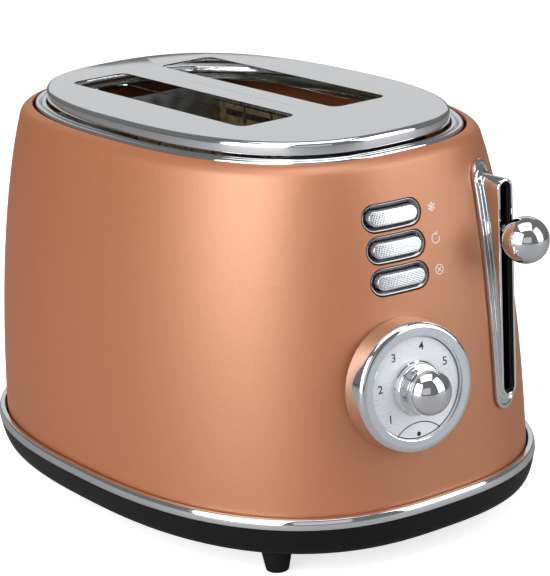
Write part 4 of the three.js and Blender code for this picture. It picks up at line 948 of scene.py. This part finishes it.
def lever_row(radius, length, middle, depth=None, plane=None):
    """One pill row: on the body at a depth over its surface, or on an upright plane."""
    across, along = pill_rows([radius], [length / 2 - radius])
    y, z = lever_y + across[0], middle + along[0]
    x = face_x(y, z) + depth if plane is None else np.full(len(y), plane)
    return np.stack([x, y, z], -1)


frame_long, loop_long, hole_long = 112.2 * mm, 99.9 * mm, 97.3 * mm
frame_round, loop_round, hole_round = 7.7 * mm, 4.3 * mm, 3 * mm


def between(share, depth=None, plane=None):
    """A row that is the frame's outline at share 0 and the loop's outline at share 1."""
    radius = frame_round + (loop_round - frame_round) * share
    length = frame_long + (loop_long - frame_long) * share
    middle = frame_middle + (slot_z - frame_middle) * share
    return lever_row(radius, length, middle, depth, plane)


rims_mm = [(0, 0.3), (0, 1.4), (0.03, 1.85), (0.10, 2.12), (0.20, 2.15), (0.30, 1.95), (0.36, 1.45),
           (0.46, 1.3), (0.56, 1.45), (0.62, 1.95), (0.72, 2.15), (0.84, 2.1), (0.93, 2.2), (0.985, 2.5),
           (1, 2.9)]
wall_mm = [(1, 0.55), (1.03, 0.2), (1.09, 0)]
hole_mm = [(3.3, 0.6, 0), (3.08, 0.16, 0.15), (3, 0, 0.5)]
frame_rows = [between(share, depth=depth * mm) for share, depth in rims_mm]
frame_rows += [between(share, plane=loop_front - back * mm) for share, back in wall_mm]
frame_rows += [lever_row(radius * mm, hole_long + more * mm, slot_z, plane=loop_front - back * mm)
               for radius, more, back in hole_mm]
frame_rows.append(lever_row(hole_round, hole_long, slot_z, depth=0.3 * mm))
lever_frame = grid(np.stack(frame_rows), wrap_rows=True)
piece("lever_frame", lever_frame, "body", chrome, ["lever_escutcheon"])

liner_half, liner_long = (liner_high.y - liner_low.y) / 2, liner_high.z - liner_low.z
liner_wall = 0.8 * mm
liner_section = [(0, liner_low.x), (0, liner_high.x),
                 (liner_wall, liner_high.x), (liner_wall, liner_low.x)]
liner_rows = [lever_row(liner_half - thin, liner_long - 2 * thin, slot_z, plane=x)
              for thin, x in liner_section]
liner_mesh = grid(np.stack(liner_rows), wrap_rows=True)
piece("slot_liner", liner_mesh, "body", slot_plastic, ["lever_slot_liner"])

# %% [markdown]
# ### Ball and neck
# The ball is a turned half circle with a small flat where the steel neck screws in. Both ride on the
# carriage, so they slide with it.

# %% Ball knob and its neck
ball_low, ball_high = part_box("lever_knob")
ball, ball_radius = (ball_low + ball_high) / 2 + Vector((0.15 * mm, 0, 0)), (ball_high.z - ball_low.z) / 2
ball_turn = np.linspace(math.radians(14), math.pi, 60)
ball_profile = np.vstack([
    [[0, -3.3 * mm], [2.4 * mm, -3.3 * mm]],
    np.stack([ball_radius * np.sin(ball_turn), -ball_radius * np.cos(ball_turn)], -1),
])
ball_profile[-1, 0] = 0
along_x = facing(ball, Vector((1, 0, 0)))
piece("ball_knob", turned(ball_profile, along_x, 128), "carriage", chrome, ["lever_knob"])
neck_mesh = turned(rod_profile(1.6 * mm, -24 * mm, -4.5 * mm), along_x, 48)
piece("ball_neck", neck_mesh, "carriage", chrome)

# %% [markdown]
# ## Bread guides
# Seven upright wires stand between a hinge rod and a top rod, and each of the four guides turns on its
# hinge rod as the lever goes down.

# %% Bread guides
guides = [f"{slot}_{place}" for slot in ("front", "rear") for place in ("outer", "inner")]
rod_radius, wire_radius, rod_overhang, wire_count = 1.2 * mm, 0.9 * mm, 9.8 * mm, 7


def wire(start, end, radius, count=16):
    """A round wire between two points."""
    start, end = Vector(start), Vector(end)
    way = end - start
    place = Matrix.Translation(start) @ way.to_track_quat("Z", "Y").to_matrix().to_4x4()
    edge = 0.3 * radius
    profile = [(0, 0), (radius - edge, 0), (radius, edge), (radius, way.length - edge),
               (radius - edge, way.length), (0, way.length)]
    return turned(profile, place, count)


for guide in guides:
    low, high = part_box(f"bread_guide_{guide}")
    y = (low.y + high.y) / 2
    bottom, top = low.z + rod_radius, high.z - rod_radius
    left, right = low.x + rod_overhang, high.x - rod_overhang
    wires = [wire((low.x, y, bottom), (high.x, y, bottom), rod_radius)]
    wires.append(wire((left - 1 * mm, y, top), (right + 1 * mm, y, top), rod_radius))
    for x in np.linspace(left + 3 * mm, right - 3 * mm, wire_count):
        wires.append(wire((x, y, bottom), (x, y, top), wire_radius))
    node, body = f"bread_guide_{guide}", f"guide_{guide}"
    piece(f"wire_{body}", joined(*wires), body, wire_steel, [node])

# %% [markdown]
# ## Printed marks
# A snowflake, a returning arrow and a crossed circle tell the three buttons apart. Each is a few paths
# in (y, z), about a middle m and of a radius r, and every path becomes a thin stroke of white ink, a few
# hundredths of a millimetre over the lacquer.

# %% Marks beside the buttons


def on_end(points, lift):
    """Points (y, z) on the control end, lifted off the lacquer."""
    y, z = np.asarray(points, float).T
    return np.column_stack([face_x(y, z) + 0.02 * mm + lift, y, z])


def towards(angle):
    """Unit vector at an angle: (cos, sin)."""
    return np.array([math.cos(angle), math.sin(angle)])


def circle_path(middle, radius, start, end, count=40):
    turn = np.radians(np.linspace(start, end, count))
    return np.stack([middle[0] + radius * np.cos(turn), middle[1] + radius * np.sin(turn)], -1)


def line_path(start, end, count=6):
    return np.linspace(np.asarray(start, float), np.asarray(end, float), count)


def snowflake(m, r):
    paths = []
    for turn in np.radians([90, 150, 210, 270, 330, 30]):
        paths.append(line_path(m, m + r * towards(turn)))
        for bend in np.radians([-50, 50]):
            root = m + 0.55 * r * towards(turn)
            paths.append(line_path(root, root + 0.35 * r * towards(turn + bend)))
    return paths


def returning_arrow(m, r):
    tip = m + r * towards(math.radians(60))
    barbs = [tip + 0.55 * r * towards(angle) for angle in np.radians([95, 195])]
    return [circle_path(m, r, 60, 370), *(line_path(tip, b) for b in barbs)]


def crossed_circle(m, r):
    d = 0.45 * r
    strokes = [line_path(m + [-d, -d], m + [d, d]), line_path(m + [-d, d], m + [d, -d])]
    return [circle_path(m, r, 0, 360), *strokes]


mark_y, mark_radius, stroke = 5.5 * mm, 2.1 * mm, 0.34 * mm
marks = []
for name, drawing in zip(caps, (snowflake, returning_arrow, crossed_circle)):
    middle = np.array([mark_y, outline_of(name)[1]])
    marks += [ribbon(path, stroke, 0.04 * mm, on_end) for path in drawing(middle, mark_radius)]
piece("button_marks", joined(*marks), "body", white_ink)

# %% [markdown]
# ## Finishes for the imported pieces
# Behind the slots are the bulkheads, mica cards, heating wires, racks and the latch. Their packed
# shapes are already right, so each takes its finish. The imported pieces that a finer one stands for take
# theirs, too.

# %% Inner pieces
packed_finishes = [
    (zinc, ["bulkhead_rear", "bulkhead_control", "side_panel_front", "side_panel_rear", "board_bracket",
            "carriage_bracket", "crumb_tray", "latch_magnet_core"]),
    (wire_steel, ["bread_rack_front", "bread_rack_rear", "lever_arm", "guide_rod", "lift_spring",
                  "latch_armature", "pot_shaft", *(f"bread_guide_{guide}" for guide in guides), *screws]),
    (mica, ["heating_card_front", "heating_card_centre", "heating_card_rear"]),
    (heating_wire, [f"heating_ribbon_{guide}" for guide in guides]),
    (board_green, ["control_board"]),
    (winding, ["latch_magnet_coil"]),
    (slot_plastic, ["power_switch", "browning_pot"]),
    (block_plastic, ["terminal_block"]),
    (red_sleeve, ["lead_live"]),
    (blue_sleeve, ["lead_neutral"]),
    (chrome, ["top_plate", "top_trim_ring", "base_band", "dial_bezel", "browning_knob", "lever_knob",
              "lever_escutcheon", "button_frame"]),
    (copper, ["outer_shell"]),
    (base_plastic, ["base_shell", "crumb_tray_handle", "lever_slot_liner"]),
    (foot_rubber, ["cord_gland", "foot_control_end_front", "foot_control_end_rear",
                   "foot_tray_end_front", "foot_tray_end_rear"]),
    (button_silver, caps),
    (dial_silver, ["dial_face"]),
]
unfinished = set(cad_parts)
for material, names in packed_finishes:
    for name in names:
        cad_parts[name].data.materials.clear()
        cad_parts[name].data.materials.append(material)
        unfinished.remove(name)
print(len(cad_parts), "packed pieces; without a finish:", sorted(unfinished))

# %% [markdown]
# ## Studio
# A product studio is pale paper and large soft boxes. The floor is two sheets: the camera sees a bright
# one, and the toaster mirrors and is lit by a greyer one just below it. A round wall of white paper
# closes the view behind, and only the camera sees that, too. A wide soft box hangs over the toaster,
# tall ones stand to its left and right, and weaker ones light its back and its near corner.

# %% Floor, wall and lights
wall_radius, wall_foot, wall_head, wall_sides, floor_reach = 5.9, -3.0, 5.0, 64, 6


def paper(name, mesh, colour, glow):
    """Seamless paper. Its glow stands for the light that comes through it from behind."""
    material, _, shader = new_material(name, colour, 0.7)
    shader.inputs["Emission Color"].default_value = (1, 1, 1, 1)
    shader.inputs["Emission Strength"].default_value = glow
    mesh.materials.append(material)
    obj = bpy.data.objects.new(name, mesh)
    bpy.context.scene.collection.objects.link(obj)
    return obj


def floor_mesh(height):
    mesh = bpy.data.meshes.new("floor")
    corners = [(-1, -1), (1, -1), (1, 1), (-1, 1)]
    mesh.from_pydata([(floor_reach * x, floor_reach * y, height) for x, y in corners], [], [range(4)])
    return mesh


seen_floor = paper("floor_seen", floor_mesh(0), "#f4f4f4", 0.72)
lit_floor = paper("floor_reflected", floor_mesh(-0.5 * mm), "#a2a2a4", 0)
turn = np.linspace(0, 2 * math.pi, wall_sides, endpoint=False)
circle = wall_radius * np.stack([np.cos(turn), np.sin(turn)], -1)
wall_rows = [np.column_stack([circle, np.full(wall_sides, height)]) for height in (wall_foot, wall_head)]
wall = paper("studio_wall", grid(np.stack(wall_rows)), "#f4f4f4", 1.0)
lit_floor.visible_camera = False
for sheet_of_paper in (seen_floor, wall):
    sheet_of_paper.visible_glossy = sheet_of_paper.visible_diffuse = sheet_of_paper.visible_shadow = False
wall.visible_transmission = False


def soft_box(name, azimuth, elevation, distance, size, power):
    """An area light that looks at the toaster's middle. Angles in degrees, sizes in metres, watts."""
    light = bpy.data.lights.new(name, "AREA")
    light.shape, light.size, light.size_y = "RECTANGLE", *size
    light.energy = power
    obj = bpy.data.objects.new(name, light)
    back = away(math.radians(azimuth), math.radians(elevation))
    obj.location = Vector((0, 0, 0.1)) + distance * back
    obj.rotation_euler = back.to_track_quat("Z", "Y").to_euler()
    bpy.context.scene.collection.objects.link(obj)


soft_box("overhead_box", 60, 80, 1.5, (1.4, 1.2), 11)
soft_box("left_box", 10, 18, 1.6, (1.4, 1.7), 29)
soft_box("right_box", 122, 24, 1.5, (0.8, 1.4), 11)
soft_box("rear_box", 235, 23, 2.2, (2.2, 1.1), 3.8)
soft_box("front_box", 58, 14, 2.2, (1.5, 1.0), 2)

world = bpy.data.worlds.new("studio")
world.use_nodes = True
room = world.node_tree.nodes["Background"]
room.inputs["Color"].default_value, room.inputs["Strength"].default_value = linear("#f4f4f6"), 0.2
bpy.context.scene.world = world
bpy.context.scene.view_settings.view_transform = "Standard"
